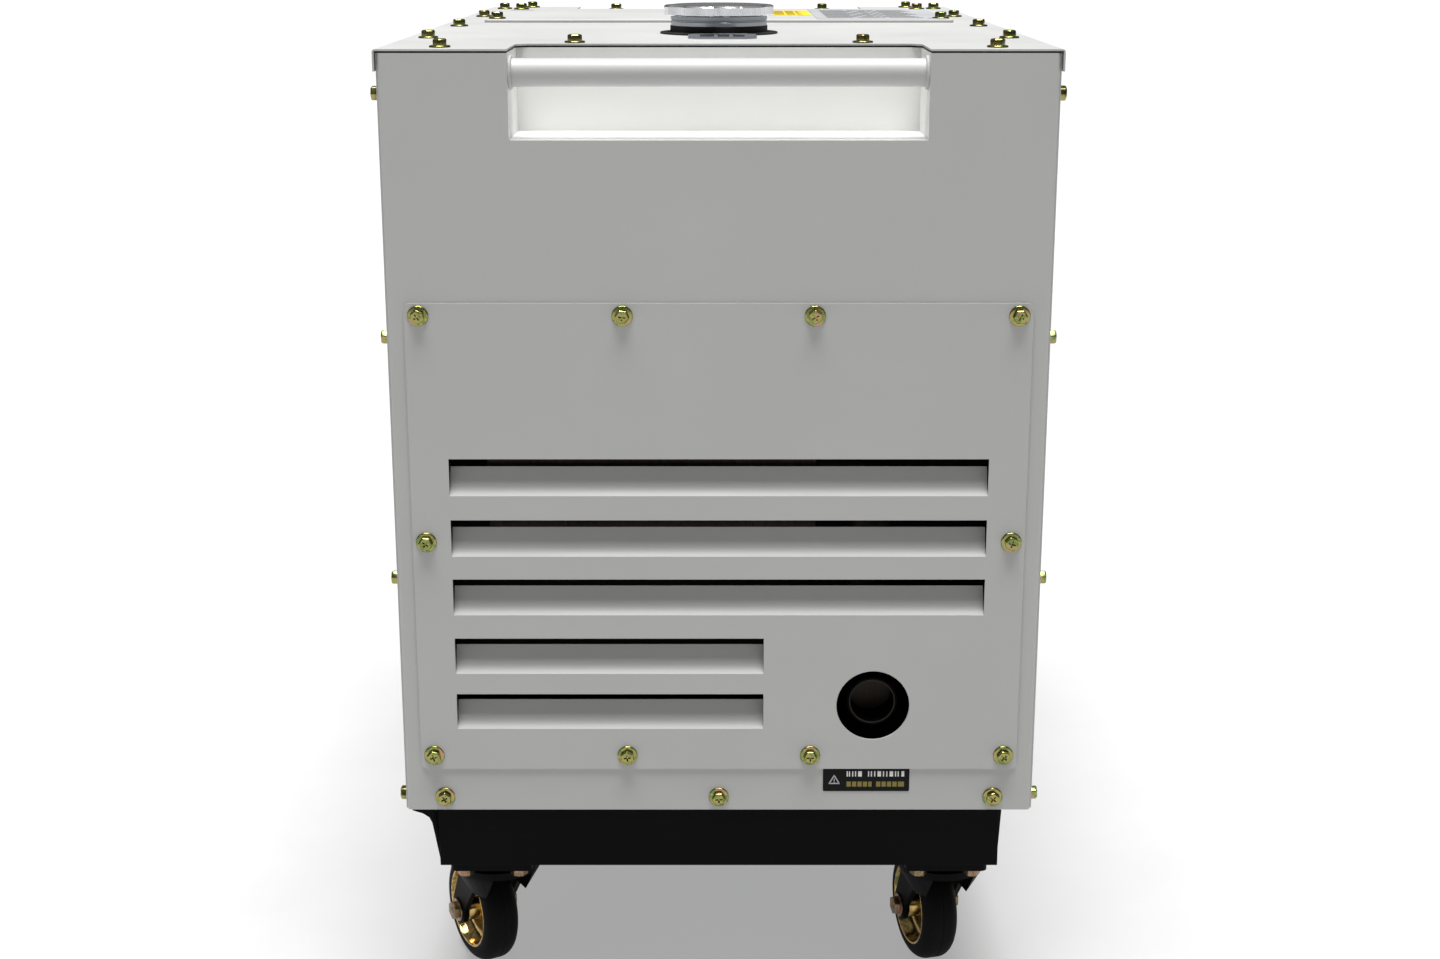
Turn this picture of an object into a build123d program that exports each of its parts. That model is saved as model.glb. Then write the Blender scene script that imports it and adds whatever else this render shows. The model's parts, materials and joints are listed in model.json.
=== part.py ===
from build123d import *
import math
import os

# Enclosed engine driven welder on four swivel castors. Millimetres, +Z up.
# Origin: on the floor, under the middle of the case. -Y is the exhaust end,
# +Y the control end, and +X is on the right of a person facing the exhaust end.

# Driving dimensions of the case.
LENGTH = 880.0
END_X = 264.0
SHEET = 1.5
BASE_Z = 127.0
FLOOR_Z = 180.0
TOP_Z = 813.0
FACE_Y = -LENGTH / 2
SIDE_X = END_X + SHEET
ROOF_X = SIDE_X + 0.5 + SHEET
ROOF_UNDER = TOP_Z - SHEET
PANEL_TOP = ROOF_UNDER - SHEET
FLANGE = 37.0
LIP_Z = 205.0

# Flange bolts: head, washer flange and shank.
HEX_AF = 10.5
HEAD_H = 6.5
WASHER_R = 8.5
WASHER_H = 1.6
SHANK_R = 3.0
SHANK_L = 10.0
HOLE_R = 3.3

# Access cover with its louvres and exhaust hole.
COVER_X = 250.5
COVER_Z = (218.0, 615.3)
COVER_T = 2.0
COVER_BOLT_X = 239.3
COVER_BOLT_INNER_X = 76.8
COVER_BOLT_Z = (230.3, 417.4, 605.1)
LOUVRE_Z = (254.0, 303.0, 354.4, 405.0, 456.5)
LOUVRE_H = 31.0
LOUVRE_X = 219.0
LOUVRE_SHORT_X = 37.3
OUTLET = (128.8, 274.8)
OUTLET_R = 30.5

# Handle pocket and lifting tube.
POCKET_X = 163.5
POCKET_Z = 743.3
POCKET_DEPTH = 78.0
TUBE_R = 11.0
TUBE_WALL = 2.0
TUBE_Y = FACE_Y + 13.0
TUBE_Z = 794.4
POCKET_BACK = FACE_Y + POCKET_DEPTH

# Other bolt rows.
BASE_BOLT_X = (-231.8, 0.0, 231.8)
BASE_BOLT_Z = 191.8
SIDE_BOLT_Y = 420.0
SIDE_BOLT_Z = (187.2, 380.5, 583.8, 778.1)
ROOF_CORNER_BOLT = (218.0, 415.0)
ROOF_POCKET_BOLT = (117.0, 348.0)
ROOF_SIDE_BOLT_X = 246.0
ROOF_SIDE_BOLT_Y = (-275.0, -60.0, 155.0, 370.0)

# Raised roof hatch.
HATCH_X = 231.0
HATCH_Y = (15.0, 297.0)
HATCH_H = 3.0
HATCH_BOLTS = [(-220.0, 37.0), (220.0, 37.0), (-218.0, 275.0), (218.0, 275.0)]

# Fuel tank, filler neck, seal ring and cap.
TANK_X = 200.0
TANK_Y = (-338.0, 0.0)
TANK_Z = (684.0, 800.0)
TANK_WALL = 2.0
FILLER_Y = -192.0
NECK_R = 40.5
NECK_BORE_R = 38.0
NECK_TOP = TOP_Z + 20.0
CAP_R = 48.5
CAP_BOTTOM = TOP_Z + 15.7
CAP_TOP = TOP_Z + 25.4
CAP_LOBES = 6
CAP_FIRST_LOBE = -81.4

# Instrument tray at the control end, laid out facing -Y and then turned half round.
TRAY_FLANGE_Z = (410.0, 716.0)
TRAY_BOLT_Z = (422.0, 563.0, 704.0)
TRAY_X = 226.0
TRAY_Z = (436.0, 690.0)
DIAL_Y = FACE_Y + 45.0
METERS = [(-150.0, 635.0), (-65.0, 635.0)]
KEY_AT = (45.0, 635.0)
ESTOP_AT = (150.0, 630.0)
KNOB_AT = (-108.0, 550.0)
BREAKER_AT = (45.0, 555.0)
SOCKET_AT = (140.0, 510.0)
WELD_AT = [(-170.0, 475.0), (-90.0, 475.0)]
EARTH_AT = (-20.0, 465.0)

# Service door on the right side, its hinges and latches.
DOOR_Y = (-290.0, 287.0)
DOOR_Z = (236.0, 764.0)
DOOR_GAP = 2.0
DOOR_EDGE = 8.0
HINGE_X = 269.0
HINGE_Y = 290.0
HINGE_Z = (300.0, 500.0, 700.0)
HINGE_HALF = 30.0
BARREL_R = 3.0
HINGE_PIN_R = 1.6
LATCH_Y = -274.0
LATCH_Z = {"lower_latch": 350.0, "upper_latch": 650.0}
LATCH_SHAFT_R = 8.0

# Engine and alternator on one shaft along Y.
SHAFT_Z = 340.0
SHAFT_R = 20.0
FIT = 0.05
BLOCK_Y = (-230.0, 20.0)
FEET_Y = (-205, -5)
ALTERNATOR_FOOT_Y = 230
CYLINDER_Y = -105.0
PORT_X = -60.0
AIR_CLEANER = (-160.0, 540.0)
BLOCK_HALF_X = 105.0
BLOCK_Z = (215.0, 440.0)
STATOR_END = 320.0

# Exhaust silencer, and the height at which its inlet pipe runs.
MUFFLER_Z = 470.0
PORT_Z = 510.0

# Swivel castors.
PIVOT_X = 195.5
PIVOT_Y = 385.0
PIVOTS = {
    "front_left": (-PIVOT_X, -PIVOT_Y, 30.0),
    "front_right": (PIVOT_X, -PIVOT_Y, 15.0),
    "rear_left": (-PIVOT_X, PIVOT_Y, -125.0),
    "rear_right": (PIVOT_X, PIVOT_Y, 150.0),
}
WHEEL_R = 50.0
WHEEL_W = 32.0
RIM_R = 35.0
TRAIL = 36.0
AXLE_R = 5.0
PLATE_T = 6.5
RACE_R = 34.0
CROWN_Z = (105.0, 111.7)
CROWN_R = 38.0
BELL_Z = 82.0
BELL_R = 25.0
KINGPIN_R = 8.0
LEG_IN = 19.0
LEG_OUT = 24.0
CASTOR_BOLT = (23.0, 38.0)
CASTOR_HOLE_R = 4.3
NUT_AF = 13.0
NUT_H = 7.5


def block(x0, x1, y0, y1, z0, z1):
    """A box between two corners."""
    centre = ((x0 + x1) / 2, (y0 + y1) / 2, (z0 + z1) / 2)
    return Pos(*centre) * Box(x1 - x0, y1 - y0, z1 - z0)


def rod(axis, at, start, end, radius):
    """A cylinder along X, Y or Z; at gives the other two coordinates in order."""
    bar = Cylinder(radius, end - start, align=(Align.CENTER, Align.CENTER, Align.MIN))
    if axis == "X":
        return Pos(start, at[0], at[1]) * Rot(0, 90, 0) * bar
    if axis == "Y":
        return Pos(at[0], start, at[1]) * Rot(-90, 0, 0) * bar
    return Pos(at[0], at[1], start) * bar


def ring(axis, at, start, end, outer, inner):
    """A round tube along X, Y or Z."""
    return rod(axis, at, start, end, outer) - rod(axis, at, start - 1, end + 1, inner)


def hexagon(across, height):
    """A hexagonal nut or head standing on z = 0, by its width across flats."""
    return extrude(RegularPolygon(across / 2, 6, major_radius=False), height)


def along_x(points, x0, x1):
    """An outline of (y, z) points carried along X."""
    outline = Plane.YZ.offset(x0) * make_face(Polyline(*points, close=True))
    return extrude(outline, x1 - x0)


def along_y(points, y0, y1):
    """An outline of (x, z) points carried along Y."""
    outline = Plane.XZ.offset(-y0) * make_face(Polyline(*points, close=True))
    return extrude(outline, -(y1 - y0))


def save(name, shapes):
    """Write one node; a list becomes a group of separate solids."""
    parts = shapes if isinstance(shapes, list) else [shapes]
    solids = [solid for part in parts for solid in part.solids()]
    export_step(Compound(children=solids), f"parts/{name}.step")


def turned(shape):
    """The same thing at the other end of the case."""
    return Rot(0, 0, 180) * shape


def both_ways(points):
    """Points and their mirror images in X."""
    return [(sign * x, other) for x, other in points for sign in (-1, 1)]


COVER_BOLTS = both_ways([(COVER_BOLT_X, z) for z in COVER_BOLT_Z])
COVER_BOLTS += both_ways([(COVER_BOLT_INNER_X, z) for z in (COVER_BOLT_Z[0], COVER_BOLT_Z[2])])
TRAY_BOLTS = both_ways([(COVER_BOLT_X, z) for z in TRAY_BOLT_Z])
TRAY_BOLTS += both_ways([(COVER_BOLT_INNER_X, z) for z in (TRAY_BOLT_Z[0], TRAY_BOLT_Z[2])])
BASE_BOLTS = [(x, BASE_BOLT_Z) for x in BASE_BOLT_X]
ROOF_BOLTS = [(x, y) for x, y in both_ways([ROOF_CORNER_BOLT, ROOF_POCKET_BOLT])]
ROOF_BOLTS += [(x, -y) for x, y in ROOF_BOLTS]
ROOF_BOLTS += both_ways([(ROOF_SIDE_BOLT_X, y) for y in ROOF_SIDE_BOLT_Y])
SIDE_BOLTS = [(sign * SIDE_BOLT_Y, z) for z in SIDE_BOLT_Z for sign in (-1, 1)]


def holes_y(points, y0, y1):
    return [rod("Y", at, y0, y1, HOLE_R) for at in points]


def holes_z(points, z0, z1):
    return [rod("Z", at, z0, z1, HOLE_R) for at in points]


def holes_x(points, x0, x1):
    return [rod("X", at, x0, x1, HOLE_R) for at in points]


def vane(x0, x1, bottom, face, sheet):
    """A louvre blade: it leaves the opening's lower edge, goes in and bends upward."""
    shape = [(0, 0), (6, 6.5), (12, 22), (12 + sheet, 21.5)]
    shape += [(6 + sheet, 5.6), (sheet, -1), (sheet, -3), (0, -3)]
    return along_x([(face + y, bottom + z) for y, z in shape], x0, x1)


def louvred(panel, rows, face, sheet):
    """Cut each (x0, x1, bottom) opening in a panel facing -Y and add its blade."""
    for x0, x1, bottom in rows:
        panel -= block(x0, x1, face - 1, face + sheet + 1, bottom, bottom + LOUVRE_H)
        panel += vane(x0, x1, bottom, face, sheet)
    return panel


# ---------------------------------------------------------------- base

FLARED_RAIL = [(158, 127), (238, 127), (244.6, 165), (247, 170), (252, 173.5), (261, 176.5), (261, 180),
               (205, 180), (205, 177), (243, 177), (241.5, 166), (235.5, 130), (158, 130)]
PLAIN_RAIL = [(158, 127), (238, 127), (241, 180), (205, 180), (205, 177), (238, 177), (235.5, 130),
              (158, 130)]


def base_side_rail(side, profile):
    """A rail of the base; the left one flares out under the case's edge."""
    rail = along_y([(side * x, z) for x, z in profile], FACE_Y + 6, -FACE_Y - 6)
    for y in (-PIVOT_Y, PIVOT_Y):
        for dx in (-CASTOR_BOLT[0], CASTOR_BOLT[0]):
            for dy in (-CASTOR_BOLT[1], CASTOR_BOLT[1]):
                rail -= rod("Z", (side * PIVOT_X + dx, y + dy), 126, 131, CASTOR_HOLE_R)
    return rail


def end_beam():
    web = block(-238.5, 238.5, FACE_Y + 3, FACE_Y + 6, BASE_Z, FLOOR_Z)
    top = block(-156, 156, FACE_Y + 6, FACE_Y + 46, FLOOR_Z - 3, FLOOR_Z)
    bottom = block(-156, 156, FACE_Y + 6, FACE_Y + 46, BASE_Z, BASE_Z + 3)
    return web + top + bottom


def cross_tube(y):
    outer = block(-204, 204, y - 20, y + 20, 130, 177)
    return outer - block(-205, 205, y - 17, y + 17, 133, 174)


def floor_pan():
    pan = block(-260, 260, FACE_Y + SHEET, -FACE_Y - SHEET, FLOOR_Z, FLOOR_Z + 2)
    pan = chamfer(pan.edges().filter_by(Axis.Z), 6)
    for end in (-1, 1):
        y = sorted((end * (-FACE_Y - SHEET), end * (-FACE_Y - SHEET - 2)))
        pan += block(-255, 255, y[0], y[1], FLOOR_Z, LIP_Z)
        side = sorted((end * 259, end * 264))
        pan += block(side[0], side[1], -400, 400, FLOOR_Z, FLOOR_Z + 2)
        side = sorted((end * 262, end * 264))
        pan += block(side[0], side[1], -400, 400, FLOOR_Z, LIP_Z)
    for hole in holes_y(BASE_BOLTS, FACE_Y, -FACE_Y):
        pan -= hole
    return pan


# ---------------------------------------------------------------- case

def end_panel():
    """One end of the case: sheet, side and top flanges, and the pocket's opening."""
    outer = block(-END_X, END_X, FACE_Y, FACE_Y + FLANGE, FLOOR_Z, PANEL_TOP)
    outer = fillet(outer.edges().filter_by(Axis.Z).group_by(Axis.Y)[0], 3.5)
    inner = block(-END_X + SHEET, END_X - SHEET, FACE_Y + SHEET, 0, FLOOR_Z - 1, PANEL_TOP - SHEET)
    inner = fillet(inner.edges().filter_by(Axis.Z).group_by(Axis.Y)[0], 2.0)
    panel = outer - inner
    panel -= block(-POCKET_X, POCKET_X, FACE_Y - 1, FACE_Y + FLANGE + 1, POCKET_Z, TOP_Z)
    reach = POCKET_X + SHEET
    panel -= block(-reach, reach, FACE_Y + SHEET, FACE_Y + FLANGE + 1, POCKET_Z - SHEET, TOP_Z)
    for hole in holes_y(BASE_BOLTS, FACE_Y - 1, FACE_Y + 3):
        panel -= hole
    for hole in holes_x([(-SIDE_BOLT_Y, z) for z in SIDE_BOLT_Z], -END_X - 1, END_X + 1):
        panel -= hole
    corners = [(x, -ROOF_CORNER_BOLT[1]) for x in (-ROOF_CORNER_BOLT[0], ROOF_CORNER_BOLT[0])]
    for hole in holes_z(corners, PANEL_TOP - 5, PANEL_TOP + 1):
        panel -= hole
    return panel


def exhaust_end_panel():
    panel = end_panel() - block(-226, 226, FACE_Y - 1, FACE_Y + 3, 242, 592)
    for hole in holes_y(COVER_BOLTS, FACE_Y - 1, FACE_Y + 3):
        panel -= hole
    return panel


def control_end_panel():
    """Modelled facing -Y like the exhaust end, then turned."""
    panel = end_panel() - block(-228, 228, FACE_Y - 1, FACE_Y + 3, TRAY_Z[0] - 2, TRAY_Z[1] + 2)
    for hole in holes_y(TRAY_BOLTS, FACE_Y - 1, FACE_Y + 3):
        panel -= hole
    rows = [(-200, 200, z) for z in (236, 286.8, 337.6)]
    return turned(louvred(panel, rows, FACE_Y, SHEET))


def access_cover():
    front = FACE_Y - COVER_T
    cover = block(-COVER_X, COVER_X, front, FACE_Y, *COVER_Z)
    cover = fillet(cover.edges().filter_by(Axis.Y), 5)
    rows = [(-LOUVRE_X, LOUVRE_SHORT_X if z < LOUVRE_Z[2] else LOUVRE_X, z) for z in LOUVRE_Z]
    cover = louvred(cover, rows, front, COVER_T)
    cover -= rod("Y", OUTLET, front - 1, FACE_Y + 1, OUTLET_R)
    for hole in holes_y(COVER_BOLTS, front - 1, FACE_Y + 1):
        cover -= hole
    return cover


def handle_pocket():
    top = PANEL_TOP
    start = FACE_Y + SHEET
    reach = POCKET_X + SHEET
    pocket = block(-reach, reach, start, POCKET_BACK + SHEET, POCKET_Z - SHEET, top)
    pocket -= block(-POCKET_X, POCKET_X, start - 1, POCKET_BACK, POCKET_Z, top + 1)
    pocket += block(-reach, reach, POCKET_BACK, POCKET_BACK + 32, top - SHEET, top)
    bolts = both_ways([(ROOF_POCKET_BOLT[0], -ROOF_POCKET_BOLT[1])])
    for hole in holes_z(bolts, top - 5, top + 1):
        pocket -= hole
    return pocket


def lift_handle():
    return ring("X", (TUBE_Y, TUBE_Z), -POCKET_X, POCKET_X, TUBE_R, TUBE_R - TUBE_WALL)


def side_sheet(side):
    x = sorted((side * END_X, side * SIDE_X))
    panel = block(x[0], x[1], FACE_Y + 4, -FACE_Y - 4, FLOOR_Z, PANEL_TOP)
    x = sorted((side * END_X, side * 234))
    panel += block(x[0], x[1], -402, 402, PANEL_TOP - SHEET, PANEL_TOP)
    for hole in holes_x(SIDE_BOLTS, min(side, 0) * 270, max(side, 0) * 270):
        panel -= hole
    rows = [(side * ROOF_SIDE_BOLT_X, y) for y in ROOF_SIDE_BOLT_Y]
    for hole in holes_z(rows, PANEL_TOP - 5, PANEL_TOP + 1):
        panel -= hole
    return panel


def left_side_panel():
    flat = Rot(0, 0, 90) * side_sheet(-1)
    rows = [(x0, x0 + 180, z) for x0 in (-330, -90, 150) for z in (236, 286.8, 337.6)]
    return Rot(0, 0, -90) * louvred(flat, rows, -SIDE_X, SHEET)


def right_side_panel():
    panel = side_sheet(1)
    y0, y1 = DOOR_Y[0] - DOOR_GAP, DOOR_Y[1] + DOOR_GAP
    z0, z1 = DOOR_Z[0] - DOOR_GAP, DOOR_Z[1] + DOOR_GAP
    inside = END_X - DOOR_EDGE
    panel += block(inside, END_X, y0 - SHEET, y1 + SHEET, z0 - SHEET, z1 + SHEET)
    panel -= block(inside - 1, SIDE_X + 1, y0, y1, z0, z1)
    for z in HINGE_Z:
        panel += block(SIDE_X, SIDE_X + SHEET, HINGE_Y + 3, HINGE_Y + 22, z - HINGE_HALF, z + HINGE_HALF)
        for low, high in ((z - HINGE_HALF, z - 10.15), (z + 10.15, z + HINGE_HALF)):
            panel += block(SIDE_X + 0.5, HINGE_X - 1, HINGE_Y, HINGE_Y + 4, low, high)
            panel += rod("Z", (HINGE_X, HINGE_Y), low, high, BARREL_R)
        panel -= rod("Z", (HINGE_X, HINGE_Y), z - 31, z + 31, HINGE_PIN_R + FIT)
    return panel


def service_door():
    inside = END_X - DOOR_EDGE
    door = block(inside, SIDE_X, *DOOR_Y, *DOOR_Z)
    hollow_y = (DOOR_Y[0] + SHEET, DOOR_Y[1] - SHEET)
    hollow_z = (DOOR_Z[0] + SHEET, DOOR_Z[1] - SHEET)
    door -= block(inside - 1, END_X, *hollow_y, *hollow_z)
    rows = [(40, 240, z) for z in (280, 330.8, 381.6, 432.4)]
    door = Rot(0, 0, -90) * door
    door = Rot(0, 0, 90) * louvred(door, rows, -SIDE_X, SHEET)
    for z in HINGE_Z:
        door += block(SIDE_X, SIDE_X + SHEET, HINGE_Y - 22, HINGE_Y - 4, z - HINGE_HALF, z + HINGE_HALF)
        door += block(SIDE_X + 0.5, HINGE_X - 1, HINGE_Y - 5, HINGE_Y, z - 9.85, z + 9.85)
        door += rod("Z", (HINGE_X, HINGE_Y), z - 9.85, z + 9.85, BARREL_R)
        door -= rod("Z", (HINGE_X, HINGE_Y), z - 31, z + 31, HINGE_PIN_R + FIT)
    for z in LATCH_Z.values():
        door -= rod("X", (LATCH_Y, z), inside, SIDE_X + 1, LATCH_SHAFT_R + FIT)
    return door


def door_latch(z):
    """Quarter-turn latch, released with its wing upright."""
    latch = rod("X", (LATCH_Y, z), SIDE_X + 0.3, SIDE_X + 3, 15)
    latch += block(SIDE_X + 3, SIDE_X + 6.4, LATCH_Y - 2.5, LATCH_Y + 2.5, z - 13, z + 13)
    latch += rod("X", (LATCH_Y, z), 251, SIDE_X + 1, LATCH_SHAFT_R)
    return latch + block(251, 254, LATCH_Y - 7, LATCH_Y + 7, z - 7, z + 26)


def roof_notch(z0, z1, margin):
    """The cut-out over one handle pocket, with its two inner corners taken off."""
    x = POCKET_X + margin
    back = POCKET_BACK + margin
    corner = 8
    points = [(-x, FACE_Y - 1), (x, FACE_Y - 1), (x, back - corner), (x - corner, back)]
    points += [(-x + corner, back), (-x, back - corner)]
    outline = Plane.XY.offset(z0) * make_face(Polyline(*points, close=True))
    return extrude(outline, z1 - z0)


def roof_cover():
    roof = block(-ROOF_X, ROOF_X, FACE_Y, -FACE_Y, TOP_Z - 17, TOP_Z)
    roof = fillet(roof.edges().filter_by(Axis.Y).group_by(Axis.Z)[-1], 2.5)
    roof -= block(-ROOF_X + SHEET, ROOF_X - SHEET, FACE_Y - 1, -FACE_Y + 1, TOP_Z - 18, ROOF_UNDER)
    notch = roof_notch(ROOF_UNDER - 1, TOP_Z + 1, 0)
    roof = roof - notch - turned(notch)
    roof -= rod("Z", (0, FILLER_Y), ROOF_UNDER - 1, TOP_Z + 1, 44)
    for hole in holes_z(ROOF_BOLTS + HATCH_BOLTS, ROOF_UNDER - 1, TOP_Z + 1):
        roof -= hole
    return roof


def roof_seal():
    seal = block(-262.5, 262.5, FACE_Y + 0.7, -FACE_Y - 0.7, PANEL_TOP, ROOF_UNDER)
    inner = block(-236, 236, -403, 403, PANEL_TOP - 1, ROOF_UNDER + 1)
    near = block(-187, 187, -404, -332, PANEL_TOP - 2, ROOF_UNDER + 2)
    inner = inner - near - turned(near)
    notch = roof_notch(PANEL_TOP - 1, ROOF_UNDER + 1, SHEET)
    seal = seal - inner - notch - turned(notch)
    for hole in holes_z(ROOF_BOLTS, PANEL_TOP - 1, ROOF_UNDER + 1):
        seal -= hole
    return seal


def roof_hatch():
    hatch = block(-HATCH_X, HATCH_X, *HATCH_Y, TOP_Z, TOP_Z + HATCH_H)
    hatch = fillet(hatch.edges().filter_by(Axis.Z), 6)
    hatch = fillet(hatch.edges().group_by(Axis.Z)[-1], 1.2)
    for hole in holes_z(HATCH_BOLTS, TOP_Z - 1, TOP_Z + HATCH_H + 1):
        hatch -= hole
    return hatch


def flange_bolt():
    """One bolt standing on z = 0, its head up and its shank down."""
    head = rod("Z", (0, 0), 0, WASHER_H, WASHER_R)
    head = chamfer(head.edges().group_by(Axis.Z)[-1], 0.8)
    top = hexagon(HEX_AF, HEAD_H)
    top = chamfer(top.edges().group_by(Axis.Z)[-1], 0.7)
    bolt = head + top + rod("Z", (0, 0), -SHANK_L, 0, SHANK_R)
    for turn in (0, 90):
        bolt -= Rot(0, 0, turn) * block(-2.7, 2.7, -0.6, 0.6, HEAD_H - 2.2, HEAD_H + 1)
    return bolt


def panel_bolts():
    bolt = flange_bolt()
    to_front = Rot(90, 0, 0) * bolt
    bolts = [Pos(x, FACE_Y - COVER_T, z) * to_front for x, z in COVER_BOLTS]
    bolts += [Pos(x, FACE_Y, z) * to_front for x, z in BASE_BOLTS]
    bolts += [turned(Pos(x, FACE_Y - COVER_T, z) * to_front) for x, z in TRAY_BOLTS]
    bolts += [turned(Pos(x, FACE_Y, z) * to_front) for x, z in BASE_BOLTS]
    bolts += [Pos(SIDE_X, y, z) * Rot(0, 90, 0) * bolt for y, z in SIDE_BOLTS]
    bolts += [Pos(-SIDE_X, y, z) * Rot(0, -90, 0) * bolt for y, z in SIDE_BOLTS]
    bolts += [Pos(x, y, TOP_Z) * bolt for x, y in ROOF_BOLTS]
    bolts += [Pos(x, y, TOP_Z + HATCH_H) * bolt for x, y in HATCH_BOLTS]
    return bolts


# ---------------------------------------------------------------- fuel

def fuel_tank():
    tank = block(-TANK_X, TANK_X, *TANK_Y, *TANK_Z)
    tank = fillet(tank.edges().filter_by(Axis.Z), 20)
    tank = fillet(tank.edges().group_by(Axis.Z)[-1], 10)
    w = TANK_WALL
    inner = block(-TANK_X + w, TANK_X - w, TANK_Y[0] + w, TANK_Y[1] - w, TANK_Z[0] + w, TANK_Z[1] - w)
    inner = fillet(inner.edges().filter_by(Axis.Z), 18)
    inner = fillet(inner.edges().group_by(Axis.Z)[-1], 8)
    tank = tank - inner + rod("Z", (0, FILLER_Y), TANK_Z[1] - w, NECK_TOP, NECK_R)
    return tank - rod("Z", (0, FILLER_Y), TANK_Z[1] - w - 1, NECK_TOP + 1, NECK_BORE_R)


def filler_seal_ring():
    seal = rod("Z", (0, FILLER_Y), 804, TOP_Z + 7.3, 43)
    seal += rod("Z", (0, FILLER_Y), TOP_Z, TOP_Z + 1.6, 52)
    seal += rod("Z", (0, FILLER_Y), 806, ROOF_UNDER - 0.2, 48)
    return seal - rod("Z", (0, FILLER_Y), 800, 830, NECK_R + 0.2)


def fuel_cap_insert():
    core = rod("Z", (0, FILLER_Y), NECK_TOP - 12, NECK_TOP, NECK_BORE_R - 0.1)
    core -= rod("Z", (0, FILLER_Y), NECK_TOP - 13, NECK_TOP - 2, NECK_BORE_R - 4)
    core += rod("Z", (0, FILLER_Y), NECK_TOP, NECK_TOP + 1.2, NECK_R)
    return core + rod("Z", (0, FILLER_Y), NECK_TOP, CAP_TOP - 1.5, 6 - FIT)


def fuel_cap():
    """Round cap with scalloped lobes; it turns on the insert's spindle."""
    cap = rod("Z", (0, FILLER_Y), CAP_BOTTOM, CAP_TOP, CAP_R)
    for lobe in range(CAP_LOBES):
        angle = math.radians(CAP_FIRST_LOBE + 360 * lobe / CAP_LOBES)
        centre = (57 * math.cos(angle), FILLER_Y + 57 * math.sin(angle))
        cap -= rod("Z", centre, CAP_BOTTOM - 1, CAP_TOP + 1, 12)
    cap = chamfer(cap.edges().group_by(Axis.Z)[-1], 1.2)
    cap -= rod("Z", (0, FILLER_Y), CAP_BOTTOM - 1, NECK_TOP + 1.5, 43)
    return cap - rod("Z", (0, FILLER_Y), NECK_TOP, CAP_TOP - 1.3, 6)


# ---------------------------------------------------------------- inside

def inner_bulkheads():
    """Exhaust bulkhead, tank rest bar and the back wall of the control box."""
    hot = block(-260, 260, -345, -343.5, FLOOR_Z + 2, TANK_Z[0])
    hot += block(-260, 260, -345, -312, TANK_Z[0] - SHEET, TANK_Z[0])
    hot -= rod("Y", (PORT_X, PORT_Z), -350, -340, 26)
    bar = block(-250, 250, -30, -5, TANK_Z[0] - SHEET, TANK_Z[0])
    bar += block(-250, 250, -30, -28.5, TANK_Z[0] - 22, TANK_Z[0])
    cold = block(-233, 233, 345, 346.5, 400, 780)
    return [hot, bar, cold]


def engine_block():
    body = block(-BLOCK_HALF_X, BLOCK_HALF_X, *BLOCK_Y, *BLOCK_Z)
    body = fillet(body.edges().filter_by(Axis.Y), 18)
    body -= rod("Y", (0, SHAFT_Z), BLOCK_Y[0] + 15, BLOCK_Y[1] - 15, 62)
    body -= rod("Y", (0, SHAFT_Z), BLOCK_Y[0] - 1, BLOCK_Y[1] + 1, SHAFT_R + FIT)
    for y in FEET_Y:
        body += block(-150, 150, y - 15, y + 15, 207, 219)
    return body


def engine_cylinder():
    """Finned barrel, head and rocker cover standing on the block."""
    y = CYLINDER_Y
    barrel = rod("Z", (0, y), BLOCK_Z[1], 560, 48)
    for z in range(450, 556, 12):
        barrel += rod("Z", (0, y), z, z + 3, 68)
    barrel += block(-66, 66, y - 65, y + 65, 558, 592)
    cover = block(-58, 58, y - 57, y + 57, 590, 625)
    barrel += fillet(cover.edges().group_by(Axis.Z)[-1], 8)
    barrel += rod("Y", (PORT_X, 575), -178, -168, 16)
    return barrel - rod("Z", (0, y), BLOCK_Z[1] - 1, 540, 38)


def fan_shroud():
    shroud = ring("Y", (0, SHAFT_Z), -300, BLOCK_Y[0], 140, 136)
    return shroud + ring("Y", (0, SHAFT_Z), BLOCK_Y[0] - 3, BLOCK_Y[0], 140, 60)


def alternator_frame():
    frame = ring("Y", (0, SHAFT_Z), BLOCK_Y[1], STATOR_END, 128, 114)
    frame += ring("Y", (0, SHAFT_Z), BLOCK_Y[1], BLOCK_Y[1] + 12, 128, 60)
    frame += ring("Y", (0, SHAFT_Z), STATOR_END - 14, STATOR_END, 128, SHAFT_R + FIT)
    y = ALTERNATOR_FOOT_Y
    return frame + block(-150, 150, y - 15, y + 15, 207, 219)


def rotor_shaft():
    shaft = rod("Y", (0, SHAFT_Z), -296, STATOR_END + 8, SHAFT_R)
    shaft += rod("Y", (0, SHAFT_Z), 70, 280, 110)
    for y in (-160, -100):
        shaft += rod("Y", (0, SHAFT_Z), y, y + 22, 55)
    return shaft


def flywheel():
    """Blower flywheel keyed to the shaft."""
    wheel = ring("Y", (0, SHAFT_Z), -290, -262, 45, SHAFT_R)
    wheel += ring("Y", (0, SHAFT_Z), -270, -262, 125, SHAFT_R)
    blade = block(60, 124, -3, 3, 0, 20)
    for turn in range(12):
        wheel += Pos(0, -270, SHAFT_Z) * Rot(90, 0, 0) * Rot(0, 0, 30 * turn) * blade
    return wheel


def engine_mounts():
    spots = [(x, y) for x in (-130, 130) for y in (*FEET_Y, ALTERNATOR_FOOT_Y)]
    return [rod("Z", at, FLOOR_Z + 2, 207, 14) for at in spots]


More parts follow.
